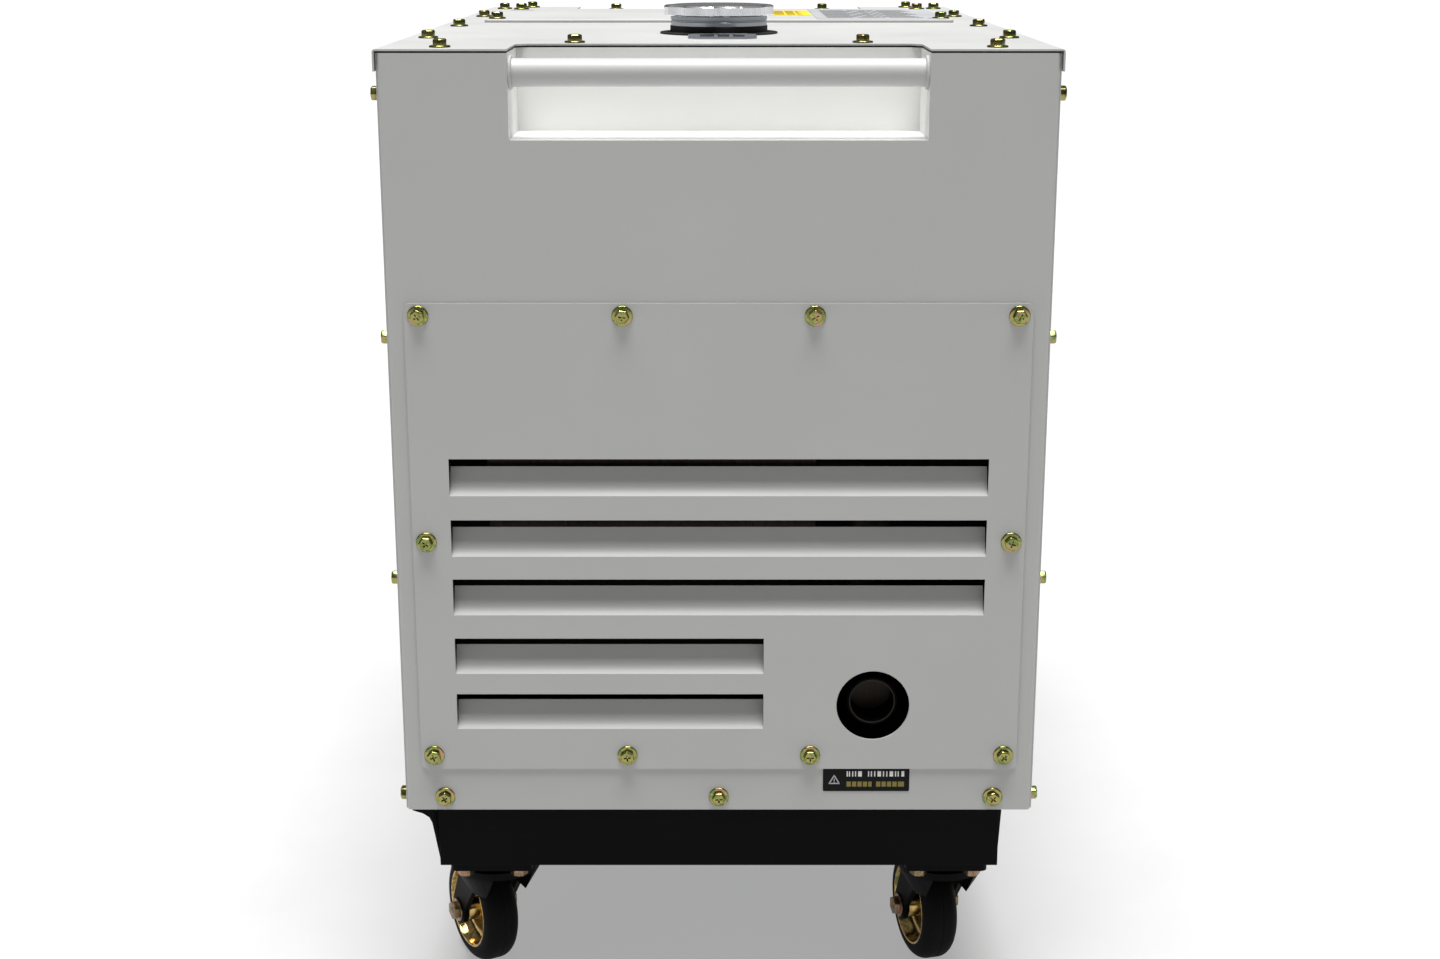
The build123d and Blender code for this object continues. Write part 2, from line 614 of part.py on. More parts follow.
def muffler():
    """Oval silencer, the pipe from the engine and the tailpipe."""
    outline = Plane.YZ.offset(-190) * Pos(-385, MUFFLER_Z) * Ellipse(36, 75)
    body = extrude(outline, 270)
    x = PORT_X
    rise = [(x, -378, PORT_Z), (x, -200, PORT_Z), (x, -200, 575), (x, -178, 575)]
    tail = [(70, -385, MUFFLER_Z), (OUTLET[0], -385, MUFFLER_Z), (OUTLET[0], -385, OUTLET[1]),
            (OUTLET[0], FACE_Y + 8, OUTLET[1])]
    for route, radius, radii in ((rise, 16, (20, 10)), (tail, 20.5, (26, 24))):
        line = FilletPolyline(*route, radius=list(radii))
        start = Plane(origin=line @ 0, z_dir=line % 0)
        body += sweep(start * Circle(radius), path=line)
    end = Plane(origin=(OUTLET[0], FACE_Y + 8, OUTLET[1]), z_dir=(0, 1, 0))
    return body - extrude(end * Circle(18.5), 30)


def battery():
    case = block(-245, -70, 352, 422, FLOOR_Z + 2, 345)
    case += block(-248, -67, 350, 424, 320, 334)
    for x in (-225, -90):
        case += rod("Z", (x, 387), 345, 360, 8)
    return case


def air_cleaner():
    can = rod("Y", AIR_CLEANER, -200, -30, 62)
    can += rod("Y", AIR_CLEANER, -206, -200, 45)
    return can + rod("X", (-105, 575), -112, -66, 18)


# ---------------------------------------------------------------- controls (facing -Y)

def instrument_panel():
    """Recessed tray; its back plate carries every control."""
    front = FACE_Y - COVER_T
    tray = fillet(block(-COVER_X, COVER_X, front, FACE_Y, *TRAY_FLANGE_Z).edges().filter_by(Axis.Y), 5)
    tray += block(-TRAY_X, TRAY_X, front, DIAL_Y + 2, *TRAY_Z)
    tray -= block(-TRAY_X + 2, TRAY_X - 2, front - 1, DIAL_Y, TRAY_Z[0] + 2, TRAY_Z[1] - 2)
    for hole in holes_y(TRAY_BOLTS, front - 1, FACE_Y + 1):
        tray -= hole
    x, z = BREAKER_AT
    for side in (-1, 1):
        cheek = sorted((x + side * 6, x + side * 9))
        tray += block(cheek[0], cheek[1], DIAL_Y - 12, DIAL_Y, z - 12, z + 12)
    tray -= rod("X", (DIAL_Y - 6, z), x - 10, x + 10, 2 + FIT)
    tray += rod("Y", ESTOP_AT, DIAL_Y - 10, DIAL_Y, 16)
    for at, radius in ((ESTOP_AT, 8), (KEY_AT, 8), (KNOB_AT, 4)):
        tray -= rod("Y", at, DIAL_Y - 12, DIAL_Y + 3, radius + FIT)
    return turned(tray)


def panel_meters():
    meters = []
    for at in METERS:
        meter = rod("Y", at, DIAL_Y - 12, DIAL_Y, 32)
        meters.append(meter - rod("Y", at, DIAL_Y - 13, DIAL_Y - 9, 28))
    counter = block(-5, 60, DIAL_Y - 8, DIAL_Y, 585, 609)
    return [turned(meter) for meter in meters + [counter]]


def power_socket():
    x, z = SOCKET_AT
    box = block(x - 40, x + 40, DIAL_Y - 14, DIAL_Y, z - 40, z + 48)
    box = fillet(box.edges().filter_by(Axis.Y), 6)
    box += rod("Y", SOCKET_AT, DIAL_Y - 20, DIAL_Y - 14, 30)
    box -= rod("Y", SOCKET_AT, DIAL_Y - 21, DIAL_Y - 4, 24)
    for side in (-1, 1):
        ear = sorted((x + side * 14, x + side * 18))
        box += block(ear[0], ear[1], DIAL_Y - 26, DIAL_Y - 14, z + 35, z + 43)
    box += rod("X", (DIAL_Y - 22, z + 39), x - 18, x + 18, 1.6)
    return turned(box)


def socket_lid():
    x, z = SOCKET_AT
    lid = rod("Y", SOCKET_AT, DIAL_Y - 24.5, DIAL_Y - 20.3, 31)
    lid += block(x - 13.5, x + 13.5, DIAL_Y - 24.5, DIAL_Y - 20.3, z + 20, z + 39)
    lid += rod("X", (DIAL_Y - 22, z + 39), x - 13.5, x + 13.5, 3.4)
    return turned(lid - rod("X", (DIAL_Y - 22, z + 39), x - 20, x + 20, 1.6 + FIT))


def weld_terminals():
    """Two weld output sockets and the earth stud with its nut."""
    items = []
    for at in WELD_AT:
        items.append(rod("Y", at, DIAL_Y - 20, DIAL_Y, 19) - rod("Y", at, DIAL_Y - 21, DIAL_Y - 2, 6.5))
    stud = rod("Y", EARTH_AT, DIAL_Y - 24, DIAL_Y, 4)
    stud += Pos(EARTH_AT[0], DIAL_Y, EARTH_AT[1]) * Rot(90, 0, 0) * hexagon(13, 7)
    return [turned(item) for item in items + [stud]]


def current_knob():
    knob = rod("Y", KNOB_AT, DIAL_Y - 22, DIAL_Y - 0.5, 22)
    knob = chamfer(knob.edges().group_by(Axis.Y)[0], 2)
    for turn in range(16):
        angle = math.radians(22.5 * turn)
        at = (KNOB_AT[0] + 23.5 * math.cos(angle), KNOB_AT[1] + 23.5 * math.sin(angle))
        knob -= rod("Y", at, DIAL_Y - 30, DIAL_Y - 5, 2.6)
    knob -= block(KNOB_AT[0] - 1, KNOB_AT[0] + 1, DIAL_Y - 23, DIAL_Y - 21, KNOB_AT[1] + 4, KNOB_AT[1] + 25)
    return turned(knob + rod("Y", KNOB_AT, DIAL_Y - 1, DIAL_Y + 10, 4))


def key_switch():
    x, z = KEY_AT
    key = rod("Y", KEY_AT, DIAL_Y - 6, DIAL_Y + 8, 8)
    key += block(x - 1.5, x + 1.5, DIAL_Y - 14, DIAL_Y - 6, z - 4, z + 4)
    bow = block(x - 1.5, x + 1.5, DIAL_Y - 34, DIAL_Y - 13, z - 11, z + 11)
    bow = fillet(bow.edges().filter_by(Axis.X), 6)
    return turned(key + bow - rod("X", (DIAL_Y - 28, z), x - 3, x + 3, 3))


def breaker_lever():
    x, z = BREAKER_AT
    pivot = DIAL_Y - 6
    lever = rod("X", (pivot, z), x - 5.5, x + 5.5, 5)
    arm = block(-5.5, 5.5, -20, 0, -3.5, 3.5)
    lever += Pos(x, pivot, z) * Rot(-20, 0, 0) * arm
    return turned(lever + rod("X", (pivot, z), x - 9, x + 9, 2))


def estop_button():
    button = rod("Y", ESTOP_AT, DIAL_Y - 26, DIAL_Y - 17, 20)
    button = fillet(button.edges().group_by(Axis.Y)[0], 4)
    return turned(button + rod("Y", ESTOP_AT, DIAL_Y - 18, DIAL_Y + 4, 8))


# ---------------------------------------------------------------- castors

def castor_plate():
    plate = fillet(block(-35, 35, -50, 50, BASE_Z - PLATE_T, BASE_Z).edges().filter_by(Axis.Z), 6)
    plate += rod("Z", (0, 0), CROWN_Z[1] + 0.3, BASE_Z - PLATE_T, RACE_R)
    plate -= rod("Z", (0, 0), CROWN_Z[1] - 1, BASE_Z + 1, KINGPIN_R + FIT)
    for x, y in both_ways([CASTOR_BOLT]):
        for sign in (-1, 1):
            plate -= rod("Z", (x, sign * y), 119, 130, CASTOR_HOLE_R)
    return plate


def castor_bolt():
    """Bolt through plate and rail flange, nut below and head above."""
    bolt = Pos(0, 0, BASE_Z - PLATE_T - NUT_H) * hexagon(NUT_AF, NUT_H)
    bolt += rod("Z", (0, 0), BASE_Z - PLATE_T - NUT_H - 1.5, BASE_Z + 4, 4)
    return bolt + Pos(0, 0, BASE_Z + 3) * hexagon(NUT_AF, 5)


def castor_fork():
    fork = rod("Z", (0, 0), *CROWN_Z, CROWN_R)
    fork += rod("Z", (0, 0), CROWN_Z[1], BASE_Z - 0.5, KINGPIN_R)
    height = CROWN_Z[0] - BELL_Z
    bell = Pos(0, 0, BELL_Z + height / 2) * Cone(BELL_R, CROWN_R, height)
    fork += bell - block(-LEG_IN, LEG_IN, -CROWN_R, CROWN_R, BELL_Z - 1, CROWN_Z[0])
    outline = [(-17, 106), (24, 106), (TRAIL + 12.5, 54), (TRAIL + 10, 42)]
    outline += [(TRAIL - 10, 42), (TRAIL - 13, 54)]
    for side in (-1, 1):
        x = sorted((side * LEG_IN, side * LEG_OUT))
        fork += along_x(outline, *x)
        fork += rod("X", (TRAIL, WHEEL_R), *x, 13)
    return fork - rod("X", (TRAIL, WHEEL_R), -30, 30, AXLE_R + 0.1)


def castor_axle():
    axle = rod("X", (TRAIL, WHEEL_R), -LEG_OUT - 5, LEG_OUT + 6, AXLE_R)
    nut = hexagon(16, 5)
    axle += Pos(LEG_OUT, TRAIL, WHEEL_R) * Rot(0, 90, 0) * nut
    return axle + Pos(-LEG_OUT - 5, TRAIL, WHEEL_R) * Rot(0, 90, 0) * nut


def castor_rim():
    at = (TRAIL, WHEEL_R)
    rim = rod("X", at, -LEG_IN + 0.5, LEG_IN - 0.5, 12)
    rim += rod("X", at, -3, 3, RIM_R)
    rim += ring("X", at, -WHEEL_W / 2 + 2, WHEEL_W / 2 - 2, RIM_R, RIM_R - 4)
    return rim - rod("X", at, -20, 20, AXLE_R + FIT)


def castor_tyre():
    at = (TRAIL, WHEEL_R)
    tyre = rod("X", at, -WHEEL_W / 2, WHEEL_W / 2, WHEEL_R)
    tyre = fillet(tyre.edges().filter_by(GeomType.CIRCLE), 12)
    return tyre - rod("X", at, -20, 20, RIM_R)


CASTOR_PIECES = {"fork": castor_fork, "axle": castor_axle, "rim": castor_rim, "tyre": castor_tyre}


def main():
    os.makedirs("parts", exist_ok=True)
    save("base_side_rails", [base_side_rail(-1, FLARED_RAIL), base_side_rail(1, PLAIN_RAIL)])
    beams = [end_beam(), turned(end_beam())] + [cross_tube(y) for y in (*FEET_Y, ALTERNATOR_FOOT_Y)]
    save("base_cross_beams", beams)
    save("floor_pan", floor_pan())
    save("exhaust_end_panel", exhaust_end_panel())
    save("control_end_panel", control_end_panel())
    save("exhaust_access_cover", access_cover())
    save("handle_pockets", [handle_pocket(), turned(handle_pocket())])
    save("lift_handles", [lift_handle(), turned(lift_handle())])
    save("left_side_panel", left_side_panel())
    save("right_side_panel", right_side_panel())
    save("service_door", service_door())
    for name, z in LATCH_Z.items():
        save(name, door_latch(z))
    save("hinge_pins", [rod("Z", (HINGE_X, HINGE_Y), z - 30, z + 30, HINGE_PIN_R) for z in HINGE_Z])
    save("roof_cover", roof_cover())
    save("roof_seal", roof_seal())
    save("roof_hatch", roof_hatch())
    save("panel_bolts", panel_bolts())
    save("fuel_tank", fuel_tank())
    save("filler_seal_ring", filler_seal_ring())
    save("fuel_cap_insert", fuel_cap_insert())
    save("fuel_cap", fuel_cap())
    save("inner_bulkheads", inner_bulkheads())
    save("engine_block", engine_block())
    save("engine_cylinder", engine_cylinder())
    save("fan_shroud", fan_shroud())
    save("alternator_frame", alternator_frame())
    save("rotor_shaft", rotor_shaft())
    save("flywheel", flywheel())
    save("engine_mounts", engine_mounts())
    save("muffler", muffler())
    save("battery", battery())
    save("air_cleaner", air_cleaner())
    save("instrument_panel", instrument_panel())
    save("panel_meters", panel_meters())
    save("power_socket", power_socket())
    save("socket_lid", socket_lid())
    save("weld_terminals", weld_terminals())
    save("current_knob", current_knob())
    save("key_switch", key_switch())
    save("breaker_lever", breaker_lever())
    save("estop_button", estop_button())
    plates = []
    bolts = []
    for name, (x, y, yaw) in PIVOTS.items():
        plates.append(Pos(x, y, 0) * castor_plate())
        bolts += [Pos(x + a * CASTOR_BOLT[0], y + b * CASTOR_BOLT[1], 0) * castor_bolt()
                  for a in (-1, 1) for b in (-1, 1)]
        place = Pos(x, y, 0) * Rot(0, 0, yaw)
        for piece, make in CASTOR_PIECES.items():
            save(f"castor_{name}_{piece}", place * make())
    save("castor_plates", plates)
    save("castor_bolts", bolts)


main()
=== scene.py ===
import json
import math
import random

import bmesh
import bpy
from bpy.props import FloatProperty, FloatVectorProperty, PointerProperty
from mathutils import Matrix, Vector


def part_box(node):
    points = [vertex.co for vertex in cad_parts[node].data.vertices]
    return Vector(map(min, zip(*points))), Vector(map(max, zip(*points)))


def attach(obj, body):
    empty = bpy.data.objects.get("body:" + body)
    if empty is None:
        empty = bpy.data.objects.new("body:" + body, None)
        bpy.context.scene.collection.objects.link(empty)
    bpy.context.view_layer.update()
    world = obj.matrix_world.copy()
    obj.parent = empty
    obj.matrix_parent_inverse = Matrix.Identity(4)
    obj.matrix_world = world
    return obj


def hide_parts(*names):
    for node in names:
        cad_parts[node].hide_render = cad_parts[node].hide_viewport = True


bl_info = {
    "name": "Engine driven welder",
    "version": (1, 0, 0),
    "blender": (4, 5, 0),
    "location": "View3D > Sidebar > Welder",
    "description": "Finishes and fittings of an enclosed engine driven welder on castors",
    "category": "Object",
}

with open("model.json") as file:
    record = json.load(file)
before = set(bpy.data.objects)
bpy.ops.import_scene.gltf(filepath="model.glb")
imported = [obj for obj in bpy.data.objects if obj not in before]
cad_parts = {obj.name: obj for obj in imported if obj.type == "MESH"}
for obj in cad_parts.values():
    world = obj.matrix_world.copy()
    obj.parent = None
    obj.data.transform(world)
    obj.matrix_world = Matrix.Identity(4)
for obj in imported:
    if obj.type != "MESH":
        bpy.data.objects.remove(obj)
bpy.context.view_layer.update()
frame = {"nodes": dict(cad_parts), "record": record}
MM = 0.001

# Places read from the frame: outer faces of the case, the roof and the roof hatch.
FACE_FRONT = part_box("exhaust_end_panel")[0][1]
FACE_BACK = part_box("control_end_panel")[1][1]
ROOF_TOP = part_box("roof_cover")[1][2]
HATCH_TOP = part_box("roof_hatch")[1][2]
CAP_LOW, CAP_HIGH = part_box("fuel_cap")
SIDE_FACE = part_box("left_side_panel")[0][0]

BODY_OF = {node: body for body, nodes in frame["record"]["behaviour"]["bodies"].items() for node in nodes}
SLOT_OF = {entry["node"]: entry["material_slot"] for entry in frame["record"]["subparts"]}


# ---------------------------------------------------------------- settings

def colour(name, text, value):
    return FloatVectorProperty(name=name, description=text, default=value, size=3, min=0, max=1, subtype="COLOR")


def length(name, text, millimetres):
    return FloatProperty(name=name, description=text, default=millimetres * MM, min=0, unit="LENGTH")


class WelderColours(bpy.types.PropertyGroup):
    """Paint, metal and rubber colours."""
    case: colour("Case", "Powder coat of the sheet-metal case", (0.44, 0.442, 0.432))
    base: colour("Base", "Black paint of the base and forks", (0.002, 0.002, 0.0022))
    zinc: colour("Zinc", "Yellow passivated bolts and castor rims", (0.29, 0.31, 0.10))
    rubber: colour("Rubber", "Tyres and seals", (0.006, 0.006, 0.0065))
    tray: colour("Tray", "Dark paint of the control recess", (0.035, 0.037, 0.04))
    warning: colour("Warning", "Yellow of the hazard labels", (0.85, 0.62, 0.03))


class WelderSizes(bpy.types.PropertyGroup):
    """Sizes of edges and fittings."""
    edge: length("Sheet edge", "Rounding of folded and cut sheet edges", 0.45)
    bolt_head: length("Bolt head", "Height of a flange bolt's head", 6.5)
    bolt_flange: length("Bolt flange", "Radius of a flange bolt's washer", 8.5)
    label: length("Label", "Thickness of labels and plates", 0.5)


# ---------------------------------------------------------------- modelling helpers

def clear_selection():
    if bpy.context.object and bpy.context.object.mode != "OBJECT":
        bpy.ops.object.mode_set(mode="OBJECT")
    bpy.ops.object.select_all(action="DESELECT")


def make_active(obj):
    clear_selection()
    obj.select_set(True)
    bpy.context.view_layer.objects.active = obj


def settle(obj):
    """Put the object's place into its mesh."""
    make_active(obj)
    bpy.ops.object.transform_apply(location=True, rotation=True, scale=True)
    return obj


def add_block(low, high):
    clear_selection()
    centre = [(a + b) / 2 for a, b in zip(low, high)]
    bpy.ops.mesh.primitive_cube_add(size=1, location=centre)
    obj = bpy.context.object
    obj.scale = [b - a for a, b in zip(low, high)]
    return settle(obj)


def flat_block(x0, x1, y0, y1, z0, z1):
    """A block between bounds in millimetres."""
    return add_block((x0 * MM, y0 * MM, z0 * MM), (x1 * MM, y1 * MM, z1 * MM))


TURNS = {"X": (0, math.pi / 2, 0), "Y": (math.pi / 2, 0, 0), "Z": (0, 0, 0)}


def add_rod(centre, axis, radius, depth, vertices=32):
    clear_selection()
    bpy.ops.mesh.primitive_cylinder_add(vertices=vertices, radius=radius, depth=depth, location=centre,
                                        rotation=TURNS[axis])
    return settle(bpy.context.object)


def add_ring(centre, axis, radius, thickness, major=48, minor=10):
    clear_selection()
    bpy.ops.mesh.primitive_torus_add(major_radius=radius, minor_radius=thickness, major_segments=major,
                                     minor_segments=minor, location=centre, rotation=TURNS[axis])
    return settle(bpy.context.object)


def edit_part(obj, kind, test):
    """Enter edit mode with the faces or edges that pass the test selected."""
    make_active(obj)
    bpy.ops.object.mode_set(mode="EDIT")
    bpy.ops.mesh.select_mode(type=kind)
    mesh = bmesh.from_edit_mesh(obj.data)
    for item in mesh.faces if kind == "FACE" else mesh.edges:
        item.select = test(item)
    mesh.select_flush_mode()
    bmesh.update_edit_mesh(obj.data)


def edit_faces(obj, test):
    """Select faces by a test of (centre, normal)."""
    edit_part(obj, "FACE", lambda face: test(face.calc_center_median(), face.normal))


def edit_edges(obj, test):
    """Select edges by a test of (start, end)."""
    edit_part(obj, "EDGE", lambda edge: test(edge.verts[0].co, edge.verts[1].co))


def edit_all(obj):
    """Enter edit mode with the whole mesh selected."""
    make_active(obj)
    bpy.ops.object.mode_set(mode="EDIT")
    bpy.ops.mesh.select_all(action="SELECT")


def leave_edit():
    bpy.ops.object.mode_set(mode="OBJECT")


def bevel_edges(obj, test, width, segments=2):
    edit_edges(obj, test)
    bpy.ops.mesh.bevel(offset=width, segments=segments, affect="EDGES")
    leave_edit()


def inset_faces(obj, test, thickness, depth):
    edit_faces(obj, test)
    bpy.ops.mesh.inset(thickness=thickness, depth=depth)
    leave_edit()


def facing(x=0, y=0, z=0):
    """A face test for one direction."""
    aim = Vector((x, y, z))
    return lambda centre, normal: normal.dot(aim) > 0.9


def round_edges(obj, width, segments=2, angle=35):
    """Bevel every sharp edge and shade the result smooth."""
    make_active(obj)
    bevel = obj.modifiers.new("Bevel", "BEVEL")
    bevel.width = width
    bevel.segments = segments
    bevel.limit_method = "ANGLE"
    bevel.angle_limit = math.radians(angle)
    bevel.miter_outer = "MITER_ARC"
    bpy.ops.object.modifier_apply(modifier=bevel.name)
    return level(smooth(obj))


def level(obj):
    """Keep large flat faces flat where they meet rounded edges."""
    weigh = obj.modifiers.new("Level", "WEIGHTED_NORMAL")
    weigh.keep_sharp = True
    weigh.weight = 100
    bpy.ops.object.modifier_apply(modifier=weigh.name)
    return obj


def smooth(obj, angle=35):
    make_active(obj)
    bpy.ops.object.shade_smooth_by_angle(angle=math.radians(angle))
    return obj


def lathe(points, steps=64):
    """Spin an outline of (radius, height) points round Z; a closed outline ends where it starts."""
    clear_selection()
    bpy.ops.mesh.primitive_plane_add(size=0.01)
    obj = bpy.context.object
    bpy.ops.object.mode_set(mode="EDIT")
    bpy.ops.mesh.select_mode(type="VERT")
    bpy.ops.mesh.select_all(action="SELECT")
    bpy.ops.mesh.merge(type="CENTER")
    here = Vector((points[0][0] * MM, 0, points[0][1] * MM))
    bpy.ops.transform.translate(value=here)
    for radius, height in points[1:]:
        there = Vector((radius * MM, 0, height * MM))
        bpy.ops.mesh.extrude_vertices_move(TRANSFORM_OT_translate={"value": there - here})
        here = there
    bpy.ops.mesh.select_all(action="SELECT")
    bpy.ops.mesh.spin(steps=steps, angle=2 * math.pi, center=(0, 0, 0), axis=(0, 0, 1))
    bpy.ops.mesh.select_all(action="SELECT")
    bpy.ops.mesh.remove_doubles(threshold=0.000005)
    bpy.ops.mesh.normals_make_consistent(inside=False)
    leave_edit()
    return smooth(obj, 32)


def at(x, y, z):
    """A move given in millimetres."""
    return Matrix.Translation((x * MM, y * MM, z * MM))


def put(obj, matrix):
    obj.data.transform(matrix)
    return obj


def aimed(obj, place, along):
    """Turn a piece made along Z to another way and set it in place."""
    turn = Vector(along).to_track_quat("Z", "Y").to_matrix().to_4x4()
    return put(obj, Matrix.Translation(place) @ turn)


def mirrored(points):
    """An outline and its mirror image in height, from one end to the other."""
    return list(points) + [(radius, -height) for radius, height in reversed(points)]


def plate(low, high, axis, corner, edge=0.15 * MM):
    """A thin plate with rounded corners and eased edges; its thickness is along the axis."""
    obj = add_block(low, high)
    way = "XYZ".index(axis)
    bevel_edges(obj, lambda a, b: abs(a[way] - b[way]) > 0.5 * (high[way] - low[way]), corner, 5)
    return round_edges(obj, edge, 2, 50)


def add_print(text, size, matrix, depth=0.12 * MM):
    """Raised print, made a mesh; it reads along local X and faces local +Z."""
    clear_selection()
    bpy.ops.object.text_add()
    obj = bpy.context.object
    obj.data.body = text
    obj.data.size = size
    obj.data.extrude = depth
    obj.data.resolution_u = 3
    obj.data.align_x = "CENTER"
    obj.data.align_y = "CENTER"
    bpy.ops.object.convert(target="MESH")
    return put(bpy.context.object, matrix)


def bars(spots, x, low, high):
    """Plain printed strokes in a row along X from x, between two (y, z) corners; spots are (start, end)."""
    return join([add_block(((x + start) * MM, *low), ((x + end) * MM, *high)) for start, end in spots])


def join(objects):
    clear_selection()
    for obj in objects:
        obj.select_set(True)
    bpy.context.view_layer.objects.active = objects[0]
    if len(objects) > 1:
        bpy.ops.object.join()
    return bpy.context.view_layer.objects.active


def copied(obj, matrix):
    """A copy with its own mesh, moved by the matrix."""
    twin = obj.copy()
    twin.data = obj.data.copy()
    bpy.context.collection.objects.link(twin)
    return put(twin, matrix)


def finished(obj, name, look, body="chassis", node=None, instead=False):
    """Name a piece, give it its finish, and let it ride on its body or on a CAD node's, or stand in for that node."""
    if node:
        body = BODY_OF[node]
    obj.name = name
    obj.data.name = name
    obj.data.materials.clear()
    obj.data.materials.append(MATERIALS[look])
    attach(obj, body)
    if instead:
        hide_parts(node)
    return obj


def from_node(node):
    """A merged copy of a CAD node's mesh, ready for edge work."""
    obj = bpy.data.objects.new(node + "_finished", frame["nodes"][node].data.copy())
    bpy.context.collection.objects.link(obj)
    edit_all(obj)
    bpy.ops.mesh.remove_doubles(threshold=0.00001)
    bpy.ops.mesh.dissolve_limited(angle_limit=math.radians(0.6))
    leave_edit()
    return obj


# ---------------------------------------------------------------- shader effects

def new_group(name, inputs, outputs):
    group = bpy.data.node_groups.new(name, "ShaderNodeTree")
    for label, kind, value in inputs:
        socket = group.interface.new_socket(name=label, in_out="INPUT", socket_type=kind)
        if value is not None:
            socket.default_value = value
    for label, kind in outputs:
        group.interface.new_socket(name=label, in_out="OUTPUT", socket_type=kind)
    return group, group.nodes.new("NodeGroupInput"), group.nodes.new("NodeGroupOutput")


def add_node(tree, kind, **values):
    """A node with its settings; a key that names an input sets it, or links it to a given output."""
    node = tree.nodes.new(kind)
    for key, value in values.items():
        if isinstance(value, bpy.types.NodeSocket):
            tree.links.new(value, node.inputs[key])
        elif key in node.inputs:
            node.inputs[key].default_value = value
        else:
            setattr(node, key, value)
    return node


def add_math(tree, operation, first, second):
    node = add_node(tree, "ShaderNodeMath", operation=operation)
    for place, value in enumerate((first, second)):
        if isinstance(value, (int, float)):
            node.inputs[place].default_value = value
        else:
            tree.links.new(value, node.inputs[place])
    return node.outputs[0]


def add_ramp(tree, source, stops):
    """A colour ramp; stops are (place, colour)."""
    ramp = add_node(tree, "ShaderNodeValToRGB")
    elements = ramp.color_ramp.elements
    while len(elements) < len(stops):
        elements.new(0.5)
    for element, (place, value) in zip(elements, stops):
        element.position = place
        element.color = (*value, 1)
    tree.links.new(source, ramp.inputs["Fac"])
    return ramp.outputs["Color"]


def remap(tree, source, low, high, to_low, to_high):
    node = add_node(tree, "ShaderNodeMapRange")
    for place, value in enumerate((low, high, to_low, to_high), start=1):
        node.inputs[place].default_value = value
    tree.links.new(source, node.inputs[0])
    return node.outputs[0]


def build_grain():
    """Fine surface grain: a height for bump and a slow, cloudy mask."""
    inputs = [("Vector", "NodeSocketVector", None), ("Scale", "NodeSocketFloat", 900.0)]
    group, start, end = new_group("fine_grain", inputs, [("Height", "NodeSocketFloat"), ("Cloud", "NodeSocketFloat")])
    place, scale = start.outputs["Vector"], start.outputs["Scale"]
    fine = add_node(group, "ShaderNodeTexNoise", Vector=place, Scale=scale, Detail=3.0, Roughness=0.55)
    broad = add_node(group, "ShaderNodeTexNoise", Vector=place, Scale=7.0, Detail=5.0, Roughness=0.6)
    group.links.new(fine.outputs["Fac"], end.inputs["Height"])
    group.links.new(broad.outputs["Fac"], end.inputs["Cloud"])


def build_brushing():
    """Long thin scratches along one way, for turned and drawn metal."""
    inputs = [("Vector", "NodeSocketVector", None), ("Scale", "NodeSocketFloat", 400.0)]
    group, start, end = new_group("fine_scratches", inputs, [("Height", "NodeSocketFloat")])
    stretch = add_node(group, "ShaderNodeMapping", Vector=start.outputs["Vector"], Scale=(1.0, 1.0, 0.04))
    lines = add_node(group, "ShaderNodeTexNoise", Vector=stretch.outputs["Vector"], Scale=start.outputs["Scale"],
                     Detail=4.0, Roughness=0.7)
    group.links.new(lines.outputs["Fac"], end.inputs["Height"])


def build_dust():
    """Dust that gathers on faces that look up, broken by noise."""
    inputs = [("Vector", "NodeSocketVector", None), ("Amount", "NodeSocketFloat", 0.3)]
    group, start, end = new_group("settled_dust", inputs, [("Mask", "NodeSocketFloat")])
    geometry = add_node(group, "ShaderNodeNewGeometry")
    split = add_node(group, "ShaderNodeSeparateXYZ", Vector=geometry.outputs["Normal"])
    upward = remap(group, split.outputs["Z"], 0.2, 1.0, 0.0, 1.0)
    noise = add_node(group, "ShaderNodeTexNoise", Vector=start.outputs["Vector"], Scale=35.0, Detail=6.0,
                     Roughness=0.65)
    patches = remap(group, noise.outputs["Fac"], 0.42, 0.7, 0.0, 1.0)
    both = add_math(group, "MULTIPLY", upward, patches)
    group.links.new(add_math(group, "MULTIPLY", both, start.outputs["Amount"]), end.inputs["Mask"])


